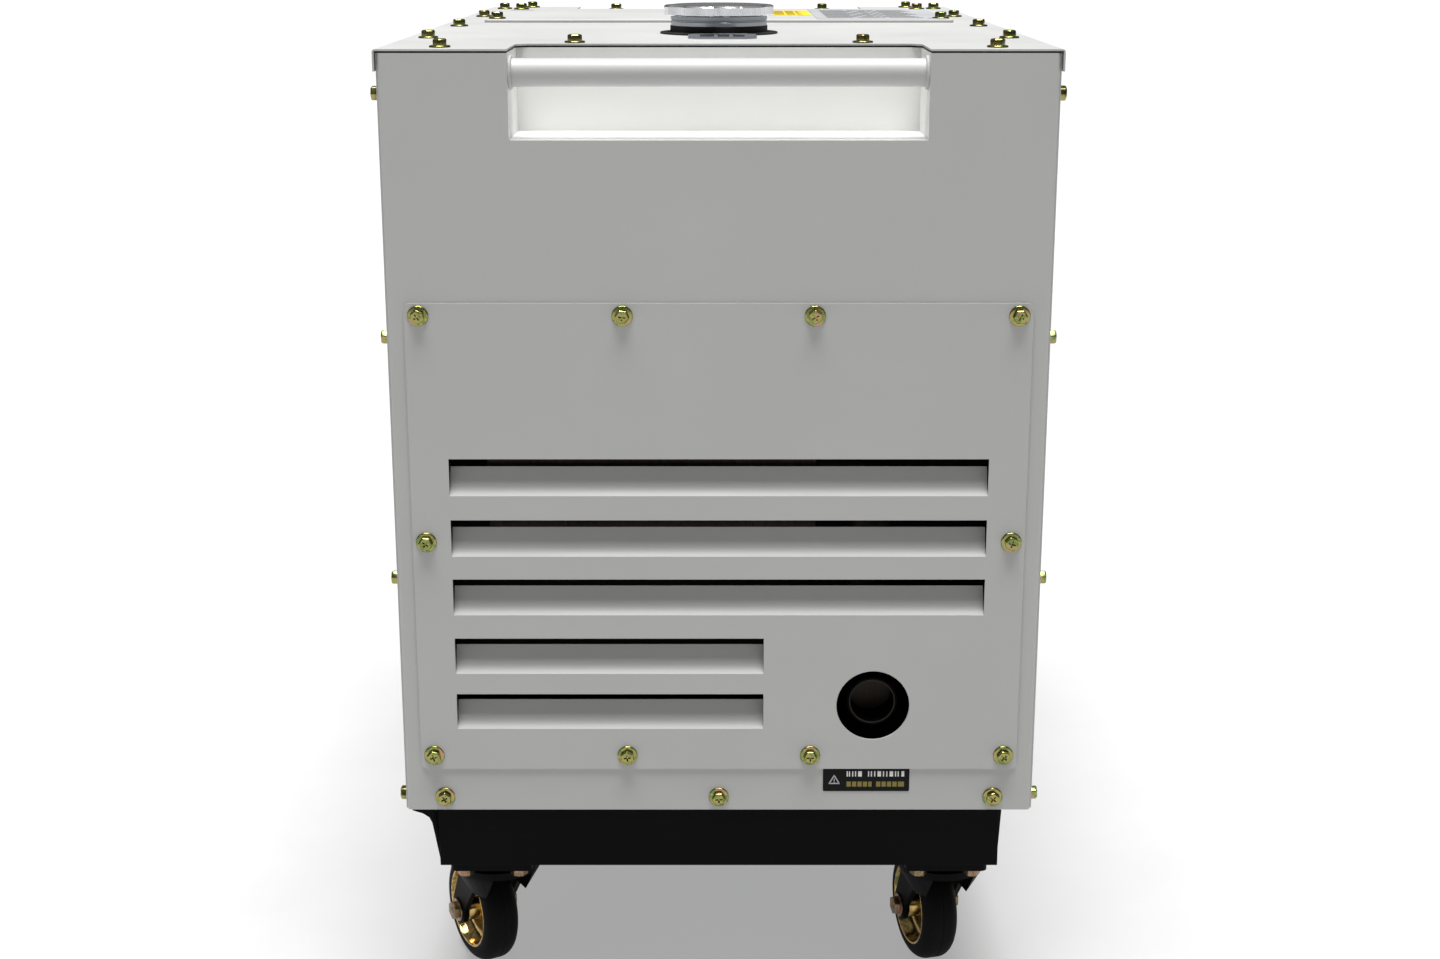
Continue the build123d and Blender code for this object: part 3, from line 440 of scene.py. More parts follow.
class Finish:
    """One material: a Principled shader, Object coordinates and the shared effects."""

    def __init__(self, name="finish"):
        self.material = bpy.data.materials.new(name)
        self.material.use_nodes = True
        self.tree = self.material.node_tree
        self.shader = self.tree.nodes["Principled BSDF"]
        self.place = add_node(self.tree, "ShaderNodeTexCoord").outputs["Object"]

    def effect(self, name, **values):
        group = bpy.data.node_groups[name]
        return add_node(self.tree, "ShaderNodeGroup", node_tree=group, Vector=self.place, **values).outputs

    def feed(self, socket, source):
        self.tree.links.new(source, self.shader.inputs[socket])

    def fixed(self, **values):
        for key, value in values.items():
            self.shader.inputs[key.replace("_", " ")].default_value = value

    def bump(self, height, strength, distance):
        node = add_node(self.tree, "ShaderNodeBump", Strength=strength, Distance=distance, Height=height)
        self.feed("Normal", node.outputs["Normal"])

    def mixed(self, mask, first, second):
        """Blend two colours by a mask; either may be a socket."""
        node = add_node(self.tree, "ShaderNodeMix", data_type="RGBA")
        self.tree.links.new(mask, node.inputs[0])
        for socket, value in ((node.inputs[6], first), (node.inputs[7], second)):
            if isinstance(value, bpy.types.NodeSocket):
                self.tree.links.new(value, socket)
            else:
                socket.default_value = (*value, 1)
        return node.outputs[2]

    def ranged(self, noise, low, high):
        """The middle of a noise, spread over a range."""
        return remap(self.tree, noise, 0.3, 0.7, low, high)

    def clouded(self, grain, value, spread):
        """A colour that drifts a little darker and lighter over the surface."""
        drift = self.ranged(grain["Cloud"], 0.0, 1.0)
        return self.mixed(drift, shade(value, 1 - spread), shade(value, 1 + spread))


DUST = (0.33, 0.30, 0.26)


def shade(value, factor):
    return tuple(min(1.0, part * factor) for part in value)


def painted(value, rough=(0.34, 0.5), grain=900.0, bump=0.1, dust=0.25, spread=0.05, gloss=0.4):
    """Powder coat: orange peel, slow tone changes and a little dust."""
    finish = Finish()
    grain = finish.effect("fine_grain", Scale=grain)
    dust = finish.effect("settled_dust", Amount=dust)
    settled = shade(DUST, 1.3) if value[0] > 0.3 else DUST
    finish.feed("Base Color", finish.mixed(dust["Mask"], finish.clouded(grain, value, spread), settled))
    finish.feed("Roughness", finish.ranged(grain["Cloud"], *rough))
    finish.bump(grain["Height"], bump, 0.0006)
    finish.fixed(Specular_IOR_Level=gloss)
    return finish


def metal(value, rough, scale=400.0, bump=0.15, spread=0.1):
    """Bare metal with fine scratches."""
    finish = Finish()
    lines = finish.effect("fine_scratches", Scale=scale)
    grain = finish.effect("fine_grain", Scale=scale)
    finish.feed("Base Color", finish.clouded(grain, value, spread))
    finish.feed("Roughness", finish.ranged(lines["Height"], *rough))
    finish.bump(lines["Height"], bump, 0.0003)
    finish.fixed(Metallic=1.0)
    return finish


def moulded(value, rough=(0.45, 0.6), grain=1400.0, bump=0.12, spread=0.08, gloss=0.35):
    """Plastic or rubber with a fine moulded texture."""
    finish = Finish()
    grain = finish.effect("fine_grain", Scale=grain)
    finish.feed("Base Color", finish.clouded(grain, value, spread))
    finish.feed("Roughness", finish.ranged(grain["Cloud"], *rough))
    finish.bump(grain["Height"], bump, 0.0005)
    finish.fixed(Specular_IOR_Level=gloss)
    return finish


def zinc(value, rough=(0.16, 0.30)):
    """Yellow passivate: a thin iridescent film from gold to olive, green and pink."""
    finish = Finish()
    noise = add_node(finish.tree, "ShaderNodeTexNoise", Vector=finish.place, Scale=130.0, Detail=2.0, Distortion=1.5)
    olive = shade(value, 0.62)
    warm = (value[0] * 1.2, value[1] * 0.95, value[2])
    stops = [(0.30, (0.16, 0.24, 0.08)), (0.42, olive), (0.50, value), (0.60, warm),
             (0.70, (0.45, 0.24, 0.18)), (0.78, (0.20, 0.34, 0.18))]
    finish.feed("Base Color", add_ramp(finish.tree, noise.outputs["Fac"], stops))
    grain = finish.effect("fine_grain", Scale=1200.0)
    finish.feed("Roughness", finish.ranged(grain["Cloud"], *rough))
    finish.bump(grain["Height"], 0.1, 0.0003)
    finish.fixed(Metallic=1.0)
    return finish


def glass():
    """Clear cover glass with faint smears."""
    finish = Finish()
    grain = finish.effect("fine_grain", Scale=300.0)
    finish.feed("Roughness", finish.ranged(grain["Cloud"], 0.02, 0.09))
    finish.fixed(Base_Color=(0.96, 0.98, 0.98, 1), IOR=1.45, Transmission_Weight=1.0)
    return finish


def build_materials():
    """Every finish of the machine, by the name of its material slot or its use."""
    for build in (build_grain, build_brushing, build_dust):
        build()
    tones = bpy.context.scene.welder_colours
    case = tuple(tones.case)
    label = {"rough": (0.3, 0.42), "bump": 0.03}
    ink = {"rough": (0.4, 0.5), "bump": 0.02}
    lens = {"rough": (0.1, 0.2), "bump": 0.02}
    finishes = {
        "case_paint": painted(case, rough=(0.38, 0.50), grain=1100.0, bump=0.12, dust=0.04, spread=0.02),
        "base_paint": painted(tuple(tones.base), rough=(0.45, 0.62), dust=0.02, gloss=0.06),
        "tray_paint": painted(tuple(tones.tray), dust=0.12),
        "tank_paint": painted((0.02, 0.02, 0.022), dust=0.3),
        "engine_paint": painted((0.10, 0.12, 0.13), rough=(0.45, 0.7), grain=500.0, bump=0.4, dust=0.4),
        "yellow_zinc": zinc(tuple(tones.zinc)),
        "rim_zinc": zinc((0.54, 0.39, 0.14), (0.10, 0.20)),
        # Zinc darkened to a dull copper: painted shade for the castor axle nuts and bolts, which sit in shadow under
        # the machine.
        "nut_zinc": zinc((0.24, 0.17, 0.10), (0.28, 0.42)),
        "neck_metal": metal((0.36, 0.38, 0.41), (0.28, 0.45), scale=300.0, spread=0.08),
        "cap_alloy": metal((0.88, 0.89, 0.91), (0.20, 0.27), scale=500.0, bump=0.01, spread=0.02),
        "steel": metal((0.52, 0.52, 0.52), (0.22, 0.4)),
        # Steel darkened by heat, and made darker still as painted shade for the silencer seen through the louvres.
        "hot_steel": metal((0.055, 0.045, 0.038), (0.5, 0.75), scale=300.0, bump=0.3, spread=0.3),
        "galvanised": metal((0.52, 0.54, 0.55), (0.35, 0.55), scale=90.0, spread=0.15),
        "engine_alloy": metal((0.50, 0.50, 0.51), (0.45, 0.62), scale=700.0, bump=0.5),
        "brass": metal((0.70, 0.50, 0.20), (0.2, 0.35)),
        "black_rubber": moulded(tuple(tones.rubber), rough=(0.55, 0.75)),
        "tyre_rubber": moulded(shade(tones.rubber, 0.9), rough=(0.5, 0.68), grain=700.0, bump=0.25, gloss=0.06),
        "grey_plastic": moulded((0.20, 0.205, 0.21)),
        "black_plastic": moulded((0.018, 0.018, 0.019)),
        "red_plastic": moulded((0.55, 0.012, 0.01), rough=(0.2, 0.3), bump=0.03),
        "battery_case": moulded((0.02, 0.02, 0.022)),
        "oil_filter": painted((0.55, 0.20, 0.02), rough=(0.3, 0.4), dust=0.3),
        "soot": moulded((0.003, 0.003, 0.003), rough=(0.8, 0.95), grain=600.0, bump=0.5, gloss=0.05),
        "label_black": moulded((0.005, 0.005, 0.005), **label, gloss=0.1),
        "label_grey": moulded((0.42, 0.43, 0.44), **label),
        "label_yellow": moulded(tuple(tones.warning), **label),
        "print_white": moulded((0.72, 0.72, 0.70), **ink),
        "print_gold": moulded((0.20, 0.16, 0.03), **ink),
        "lamp_green": moulded((0.02, 0.35, 0.05), **lens),
        "lamp_amber": moulded((0.75, 0.28, 0.01), **lens),
        "meter_glass": glass(),
        "dial_white": moulded((0.80, 0.79, 0.75), **ink, spread=0.02),
        "print_black": moulded((0.01, 0.01, 0.01), **ink),
        "needle_red": moulded((0.60, 0.02, 0.01), rough=(0.3, 0.4), bump=0.02),
        "weld_bead": painted(case, rough=(0.4, 0.55), grain=420.0, bump=0.5, dust=0.05, spread=0.03),
        # Case paint lightened 1.75 times for the handle pockets: painted light from overhead falling into the open
        # pockets.
        "pocket_paint": painted(shade(case, 1.75), rough=(0.36, 0.48), grain=1100.0, bump=0.12, dust=0.03, spread=0.02),
        # Near-black foam; its darkness is in part painted shade for the exhaust chamber behind the louvres.
        "foam": moulded((0.016, 0.016, 0.017), gloss=0.05, rough=(0.9, 1.0), grain=260.0, bump=1.0, spread=0.25),
    }
    for name, finish in finishes.items():
        finish.material.name = name
    return {name: finish.material for name, finish in finishes.items()}


MATERIALS = {}


# ---------------------------------------------------------------- operators

SHEET_NODES = (
    "exhaust_end_panel", "control_end_panel", "exhaust_access_cover", "left_side_panel", "right_side_panel",
    "service_door", "roof_cover", "roof_hatch", "handle_pockets", "instrument_panel", "floor_pan",
    "inner_bulkheads", "base_side_rails", "base_cross_beams",
)
CAST_NODES = (
    "engine_block", "battery", "power_socket", "socket_lid", "current_knob", "key_switch", "breaker_lever",
    "upper_latch", "lower_latch", "weld_terminals", "fuel_cap_insert", "filler_seal_ring", "lift_handles",
    "castor_plates", "castor_bolts",
)
CASTORS = ("front_left", "front_right", "rear_left", "rear_right")


class WELDER_OT_finishes(bpy.types.Operator):
    """Build every finish and give each CAD node its own"""
    bl_idname = "welder.finishes"
    bl_label = "Finishes"

    def execute(self, context):
        MATERIALS.update(build_materials())
        for node, obj in frame["nodes"].items():
            obj.data.materials.clear()
            obj.data.materials.append(MATERIALS[SLOT_OF[node]])
        return {"FINISHED"}


class WELDER_OT_edges(bpy.types.Operator):
    """Round the edges of sheets, castings and forks"""
    bl_idname = "welder.edges"
    bl_label = "Rounded edges"

    def execute(self, context):
        edge = context.scene.welder_sizes.edge
        forks = [f"castor_{name}_fork" for name in CASTORS]
        for nodes, width in ((SHEET_NODES, edge), (CAST_NODES, edge * 1.3), (forks, edge * 2.2)):
            for node in nodes:
                obj = from_node(node)
                obj = level(smooth(obj)) if node == "service_door" else round_edges(obj, width)
                # The castor bolts take the darkened zinc, which is painted shade.
                # The handle pockets take the lightened case paint, which is painted light.
                look = {"handle_pockets": "pocket_paint", "castor_bolts": "nut_zinc"}.get(node, SLOT_OF[node])
                finished(obj, node + "_finished", look, node=node, instead=True)
        return {"FINISHED"}


def outward_of(centre):
    """The way a case bolt points, from where it sits."""
    if abs(centre.x) > abs(SIDE_FACE) - 6 * MM:
        return Vector((math.copysign(1, centre.x), 0, 0))
    if centre.y < FACE_FRONT + 8 * MM or centre.y > FACE_BACK - 8 * MM:
        return Vector((0, math.copysign(1, centre.y), 0))
    return Vector((0, 0, 1))


def flange_bolt(head, flange):
    """One flange bolt: domed hexagon with a cross recess on a washer face."""
    washer = add_rod((0, 0, 0.8 * MM), "Z", flange, 1.6 * MM, 40)
    bevel_edges(washer, lambda a, b: a.z > 1.5 * MM and b.z > 1.5 * MM, 1.0 * MM, 3)
    hexagon = add_rod((0, 0, head / 2 + 0.5 * MM), "Z", 6.06 * MM, head - 1 * MM, 6)
    bevel_edges(hexagon, lambda a, b: abs(a.z - b.z) > 2 * MM, 0.5 * MM, 2)
    top = head - 0.1 * MM
    bevel_edges(hexagon, lambda a, b: a.z > top - 0.3 * MM and b.z > top - 0.3 * MM, 1.0 * MM, 3)
    inset_faces(hexagon, facing(z=1), 0.5 * MM, 0.25 * MM)
    cutter = join([add_block((-2.9 * MM, -0.65 * MM, head - 2.4 * MM), (2.9 * MM, 0.65 * MM, head + 2 * MM)),
                   add_block((-0.65 * MM, -2.9 * MM, head - 2.5 * MM), (0.65 * MM, 2.9 * MM, head + 2.1 * MM))])
    make_active(hexagon)
    cut = hexagon.modifiers.new("Recess", "BOOLEAN")
    cut.operation = "DIFFERENCE"
    cut.solver = "EXACT"
    cut.use_self = True
    cut.object = cutter
    bpy.ops.object.modifier_apply(modifier=cut.name)
    bpy.data.objects.remove(cutter)
    return smooth(join([hexagon, washer]), 30)


class WELDER_OT_bolts(bpy.types.Operator):
    """Put a flange bolt on every bolted joint of the case"""
    bl_idname = "welder.bolts"
    bl_label = "Case bolts"

    def execute(self, context):
        sizes = context.scene.welder_sizes
        pattern = flange_bolt(sizes.bolt_head, sizes.bolt_flange)
        places = from_node("panel_bolts")
        edit_all(places)
        bpy.ops.mesh.separate(type="LOOSE")
        leave_edit()
        turns = random.Random(11)
        corners = []
        for single in list(context.selected_objects):
            points = [vertex.co for vertex in single.data.vertices]
            corners.append([Vector([end(point[i] for point in points) for i in range(3)]) for end in (min, max)])
            bpy.data.objects.remove(single)
        bolts = []
        for low, high in sorted(corners, key=lambda pair: tuple(round(part, 4) for part in pair[0])):
            centre = (low + high) / 2
            out = outward_of(centre)
            reach = max(out.dot(low), out.dot(high))
            seat = centre - out * out.dot(centre) + out * (reach - sizes.bolt_head)
            spin = Matrix.Rotation(turns.uniform(0, math.pi), 4, "Z")
            aim = out.to_track_quat("Z", "Y").to_matrix().to_4x4()
            bolts.append(copied(pattern, Matrix.Translation(seat) @ aim @ spin))
        bpy.data.objects.remove(pattern)
        finished(join(bolts), "case_bolts", "yellow_zinc", node="panel_bolts", instead=True)
        return {"FINISHED"}


# Local frame of a castor: pivot on Z, axle along X, wheel behind the pivot along Y.
JOINTS = {joint["name"]: joint for joint in frame["record"]["behaviour"]["joints"]}


def castor_places(name):
    """The fork's place and the wheel's place of one castor, from its two joints."""
    x, y, _ = JOINTS[name + "_swivel"]["pos_m"]
    roll = JOINTS[name + "_roll"]
    yaw = math.atan2(roll["axis"][1], roll["axis"][0])
    turn = Matrix.Rotation(yaw, 4, "Z")
    return Matrix.Translation((x, y, 0)) @ turn, Matrix.Translation(roll["pos_m"]) @ turn


def wheel_pieces():
    """Tyre, pressed rim and hub of a castor wheel, centred, with the axle along X."""
    across = Matrix.Rotation(math.pi / 2, 4, "Y")
    crown = [(35.3, 14.4), (36.4, 15.6), (38.2, 16.0)]
    crown += [(38.5 + 11.5 * math.sin(a), 4.5 + 11.5 * math.cos(a)) for a in
              [math.radians(12 * step) for step in range(1, 8)]]
    crown += [(49.95, 2.0), (49.95, 0.45), (49.6, 0.2)]
    tyre = put(lathe(mirrored(crown) + [(35.3, 0)] + crown[:1], 96), across)
    dish = [(35.4, 0.0), (35.4, 13.6), (36.7, 14.4), (36.8, 15.3), (35.9, 15.8), (34.6, 15.4), (33.9, 13.8),
            (33.2, 10.5), (31.6, 7.4), (28.5, 4.9), (24.0, 3.6), (16.0, 3.3), (13.2, 4.2), (12.1, 6.6),
            (11.8, 17.2), (11.2, 18.2), (6.0, 18.4)]
    return tyre, put(lathe(mirrored(dish), 80), across)


def axle_pieces():
    """Axle bolt head and nut with their washers, and the end of the thread, centred on the axle."""
    made = []
    for side in (-1, 1):
        washer = lathe([(5.2, 0), (10.2, 0), (10.6, 0.4), (10.6, 1.3), (10.1, 1.7), (5.2, 1.7), (5.2, 0)], 40)
        hexagon = add_rod((0, 0, 4.0 * MM), "Z", 8.6 * MM, 4.8 * MM, 6)
        bevel_edges(hexagon, lambda a, b: abs(a.z - b.z) > 2 * MM, 0.6 * MM, 2)
        bevel_edges(hexagon, lambda a, b: min(a.z, b.z) > 6.0 * MM, 1.0 * MM, 3)
        smooth(hexagon, 30)
        end = lathe([(0, 7.0), (3.2, 6.9), (4.3, 6.3), (4.3, 5.8), (4.0, 5.5), (4.3, 5.2), (4.3, 2)], 32)
        group = join([washer, hexagon, end])
        made.append(aimed(group, (side * 24.05 * MM, 0, 0), (side, 0, 0)))
    shank = lathe([(4.9, -24), (4.9, 24)], 24)
    return join(made + [aimed(shank, (0, 0, 0), (1, 0, 0))])


class WELDER_OT_castors(bpy.types.Operator):
    """Give each castor its tyre, pressed rim, axle bolt and swivel seal"""
    bl_idname = "welder.castors"
    bl_label = "Castors"

    def execute(self, context):
        tyre, rim = wheel_pieces()
        axle = axle_pieces()
        seal = lathe([(34.0, 0.0), (35.2, -0.4), (35.6, -1.4), (35.2, -2.4), (34.0, -2.8)], 64)
        for name in CASTORS:
            fork_place, wheel_place = castor_places(name)
            # The axle pieces take the darkened zinc: painted shade for nuts that sit in shadow under the machine.
            for part, pattern, look in (("tyre", tyre, "tyre_rubber"), ("rim", rim, "rim_zinc"),
                                        ("axle", axle, "nut_zinc")):
                finished(copied(pattern, wheel_place), f"{name}_{part}", look, node=f"castor_{name}_{part}",
                         instead=True)
            ring = copied(seal, fork_place @ at(0, 0, 111.6))
            finished(ring, f"{name}_swivel_seal", "base_paint", node=f"castor_{name}_fork")
        for pattern in (tyre, rim, axle, seal):
            bpy.data.objects.remove(pattern)
        return {"FINISHED"}


# Finger grips round the cap: their number, where the first one sits and half their width, in degrees.
GRIPS = 6
FIRST_GRIP = -81.4
GRIP_HALF = 14


def cut_grips(cap, radius):
    """Draw the rim of the cap inwards at each grip."""
    pitch = 360 / GRIPS
    flat = radius - 8.5
    for vertex in cap.data.vertices:
        reach = math.hypot(vertex.co.x, vertex.co.y) / MM
        turn = math.degrees(math.atan2(vertex.co.y, vertex.co.x))
        across = (turn - FIRST_GRIP + pitch / 2) % pitch - pitch / 2
        if reach > flat and abs(across) < GRIP_HALF:
            dip = math.cos(math.radians(across * 6.4)) ** 0.6
            vertex.co.xy *= 1 - 0.1 * dip * min(1.0, (reach - flat) / 5.5)


class WELDER_OT_filler(bpy.types.Operator):
    """Polished scalloped fuel cap, its neck band and the tag plate in front of it"""
    bl_idname = "welder.filler"
    bl_label = "Fuel filler"

    def execute(self, context):
        centre = (CAP_LOW + CAP_HIGH) / 2
        radius = (CAP_HIGH[0] - CAP_LOW[0]) / 2 / MM
        top = (CAP_HIGH[2] - centre[2]) / MM
        outline = [(43.2, -top), (radius - 0.9, -top), (radius, -top + 0.9), (radius, top - 2.2),
                   (radius - 0.7, top - 1.2), (radius - 2.2, top - 0.6), (radius - 8, top - 0.25),
                   (radius - 9, top - 0.15), (radius - 10, top - 0.5), (18, top - 0.1), (0, top)]
        cap = lathe(outline, 192)
        cut_grips(cap, radius)
        inner = lathe([(43.2, -top), (43.2, 3.0), (0, 3.0)], 96)
        cap = smooth(put(join([cap, inner]), Matrix.Translation(centre)), 28)
        finished(cap, "fuel_cap_polished", "cap_alloy", node="fuel_cap", instead=True)

        neck_top = CAP_LOW[2] / MM
        band = lathe([(40.6, ROOF_TOP / MM + 6.8), (42.4, ROOF_TOP / MM + 7.2), (42.6, neck_top - 5.2),
                      (42.0, neck_top - 4.6), (42.0, neck_top - 3.9), (42.6, neck_top - 3.4),
                      (42.6, neck_top - 0.4), (42.2, neck_top), (40.6, neck_top)], 96)
        put(band, Matrix.Translation((centre[0], centre[1], 0)))
        finished(band, "filler_neck_band", "neck_metal")

        tag = add_block((-26 * MM, -295 * MM, ROOF_TOP), (32 * MM, -240 * MM, ROOF_TOP + 2.2 * MM))
        bevel_edges(tag, lambda a, b: abs(a.z - b.z) > 0.5 * MM, 9 * MM, 1)
        inset_faces(tag, facing(z=1), 2.0 * MM, -0.8 * MM)
        round_edges(tag, 0.2 * MM, 2, 30)
        finished(tag, "filler_tag", "neck_metal")
        strokes = [bars([(0, 12), (15, 25), (28, 38)], -16, (y * MM, ROOF_TOP + 1.3 * MM),
                        ((y + 3) * MM, ROOF_TOP + 1.6 * MM)) for y in (-284, -276, -268, -260, -252)]
        finished(join(strokes), "filler_tag_print", "print_black")
        return {"FINISHED"}


def hazard_sign(size, depth):
    """A plain warning triangle with a stroke and a dot, standing in the XY plane."""
    outer = add_rod((0, 0, depth / 2), "Z", size, depth, 3)
    bevel_edges(outer, lambda a, b: abs(a.z - b.z) > depth / 2, size * 0.12, 4)
    edit_faces(outer, lambda centre, normal: abs(normal.z) > 0.9)
    bpy.ops.mesh.inset(thickness=size * 0.16, depth=0)
    bpy.ops.mesh.bridge_edge_loops()
    leave_edit()
    bar = add_block((-size * 0.06, -size * 0.12, 0), (size * 0.06, size * 0.34, depth))
    dot = add_rod((0, -size * 0.27, depth / 2), "Z", size * 0.075, depth, 16)
    return join([outer, bar, dot])


class WELDER_OT_labels(bpy.types.Operator):
    """Generic plates and labels: hot-surface plate on the end, notices on the roof hatch"""
    bl_idname = "welder.labels"
    bl_label = "Labels"

    def execute(self, context):
        thick = context.scene.welder_sizes.label
        face = FACE_FRONT
        base = plate((88 * MM, face - thick, 197 * MM), (161 * MM, face, 219 * MM), "Y", 1.2 * MM)
        finished(base, "hot_surface_plate", "label_black")
        front = face - thick
        white = bars([(0, 1.0), (1.9, 2.9), (4.6, 5.6), (7.0, 8.0), (9.6, 12.8), (18, 19), (20.4, 21.4), (23.2, 24.2),
                      (26.0, 29.0), (30.6, 31.6), (33.4, 34.4), (36.2, 39.2), (40.8, 41.8), (43.0, 44.0), (46.2, 48.6)],
                     108, (front - 0.1 * MM, 210.4 * MM), (front + 0.1 * MM, 215.2 * MM))
        finished(white, "hot_surface_plate_white", "print_white")
        gold = bars([(0, 3.6), (4.6, 8.2), (9.2, 12.8), (13.8, 17.4), (18.4, 21.2), (25, 28.6), (29.6, 33.2),
                     (34.2, 37.8), (38.8, 42.4), (43.4, 48.6)],
                    108, (front - 0.1 * MM, 201.2 * MM), (front + 0.1 * MM, 205.8 * MM))
        finished(gold, "hot_surface_plate_gold", "print_gold")
        up = Matrix.Translation((97.5 * MM, front, 206.5 * MM)) @ Matrix.Rotation(math.pi / 2, 4, "X")
        finished(put(hazard_sign(5.8 * MM, 0.12 * MM), up), "hot_surface_sign", "label_grey")

        top = HATCH_TOP
        yellow = plate((51 * MM, 104 * MM, top), (95 * MM, 230 * MM, top + thick), "Z", 2 * MM)
        finished(yellow, "hatch_notice_yellow", "label_yellow")
        grey = plate((97 * MM, 20 * MM, top), (226 * MM, 268 * MM, top + thick), "Z", 3 * MM)
        finished(grey, "hatch_notice_grey", "label_grey")
        sheet, ink = top + thick, top + thick + 0.08 * MM
        black = []
        for row in range(9):
            y = 116 + 12 * row
            black.append(bars([(0, 11), (13, 22), (24, 30 - row % 3 * 2)], 57, (y * MM, sheet), ((y + 4.5) * MM, ink)))
        for row in range(13):
            y = 48 + 15 * row
            first, second, third = 26 + row % 4 * 4, 58 - row % 3 * 5, 96 - row % 5 * 3
            words = [(0, first), (first + 4, second), (second + 4, third)]
            black.append(bars(words, 108, (y * MM, sheet), ((y + 5) * MM, ink)))
        black.append(put(hazard_sign(9 * MM, 0.1 * MM), Matrix.Translation((214 * MM, 40 * MM, sheet))))
        finished(join(black), "hatch_notice_print", "print_black")
        slot = plate((-227 * MM, 248 * MM, top), (-203 * MM, 260 * MM, top + 0.4 * MM), "Z", 2 * MM)
        finished(slot, "hatch_slot_trim", "label_grey")
        return {"FINISHED"}


class WELDER_OT_linings(bpy.types.Operator):
    """Quilted dark foam on the door and on the side panels, and in the exhaust chamber a dark foam board that is
    painted shade behind the louvres
    """
    bl_idname = "welder.linings"
    bl_label = "Foam linings"

    def execute(self, context):
        boards = (
            # The exhaust chamber board is a dark sheet put there as painted shade behind the louvres.
            ("exhaust_lining", "chassis", (-254, -348.2, 188), (254, -345.2, 678), "Y", -1),
            ("door_lining", "door", (258.6, -276, 470), (263.8, 272, 750), "X", -1),
            ("left_lining", "chassis", (-263.8, -330, 400), (-256, 330, 770), "X", 1),
            ("control_lining", "chassis", (-228, 347, 402), (228, 352, 775), "Y", 1),
        )
        pipe_x, pipe_z, pipe_clear = -60 * MM, 510 * MM, 34 * MM
        quilt, channel = 16 * MM, 4.5 * MM
        for name, body, low, high, axis, sign in boards:
            low = Vector(low) * MM
            high = Vector(high) * MM
            clear_selection()
            way = "XYZ".index(axis)
            flat = [i for i in range(3) if i != way]
            size = high - low
            cells = [max(2, round(size[i] / quilt)) for i in flat]
            bpy.ops.mesh.primitive_grid_add(x_subdivisions=cells[0], y_subdivisions=cells[1], size=1)
            board = bpy.context.object
            back = high[way] if sign < 0 else low[way]
            for vertex in board.data.vertices:
                place = Vector((0, 0, 0))
                place[flat[0]] = (low[flat[0]] + high[flat[0]]) / 2 + vertex.co.x * size[flat[0]]
                place[flat[1]] = (low[flat[1]] + high[flat[1]]) / 2 + vertex.co.y * size[flat[1]]
                place[way] = back
                vertex.co = place
            if name == "exhaust_lining":
                edit_faces(board, lambda centre, normal: math.hypot(centre.x - pipe_x, centre.z - pipe_z) < pipe_clear)
                bpy.ops.mesh.delete(type="FACE")
                leave_edit()
            edit_all(board)
            bpy.ops.mesh.normals_make_consistent(inside=False)
            bpy.ops.mesh.extrude_region_move()
            push = Vector((0, 0, 0))
            push[way] = sign * size[way] * 0.45
            bpy.ops.transform.translate(value=push)
            chosen = bmesh.from_edit_mesh(board.data)
            for face in chosen.faces:
                face.select = face.select and abs(face.normal[way]) > 0.9
            bmesh.update_edit_mesh(board.data)
            bpy.ops.mesh.inset(thickness=channel, depth=0, use_individual=True)
            push[way] = sign * size[way] * 0.5
            bpy.ops.transform.translate(value=push)
            bpy.ops.mesh.select_all(action="SELECT")
            bpy.ops.mesh.normals_make_consistent(inside=False)
            leave_edit()
            smooth(board, 80)
            finished(board, name, "foam", body=body)
        return {"FINISHED"}


class WELDER_OT_exhaust(bpy.types.Operator):
    """Sooty rolled tip in the tailpipe, and the silencer's seams and straps"""
    bl_idname = "welder.exhaust"
    bl_label = "Exhaust"

    def execute(self, context):
        x, _, z = next(m["pos_m"] for m in frame["record"]["mounts"] if m["name"] == "tailpipe_outlet")
        tip = lathe([(0, 60), (18.2, 60), (18.4, 26), (18.4, 2), (18.7, 0.6), (19.6, -0.2), (20.9, 0.4),
                     (21.3, 1.7), (20.9, 3.0), (20.6, 4.5), (20.6, 8)], 64)
        aimed(tip, (x, -432.2 * MM, z), (0, 1, 0))
        finished(tip, "tailpipe_tip", "soot")
        shell_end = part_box("muffler")[0][0]
        made = []
        for place, width in ((shell_end + 1.5 * MM, 3.4), (-120 * MM, 14), (20 * MM, 14), (80 * MM - 1.5 * MM, 3.4)):
            half = width / 2
            strap = lathe([(1.0, -half), (1.028, -half + 0.4), (1.028, half - 0.4), (1.0, half)], 72)
            for vertex in strap.data.vertices:
                reach = math.hypot(vertex.co.x, vertex.co.y) / MM
                turn = math.atan2(vertex.co.y, vertex.co.x)
                grown = 1 + (reach - 1) * 0.9
                vertex.co = Vector((place + vertex.co.z, -385 * MM + 36 * MM * grown * math.cos(turn),
                                    470 * MM + 75 * MM * grown * math.sin(turn)))
            made.append(strap)
        straps = join(made)
        edit_all(straps)
        bpy.ops.mesh.normals_make_consistent(inside=False)
        leave_edit()
        # The straps take the darkened silencer steel, whose darkness is partly painted shade.
        finished(smooth(straps), "silencer_straps", "hot_steel")
        return {"FINISHED"}


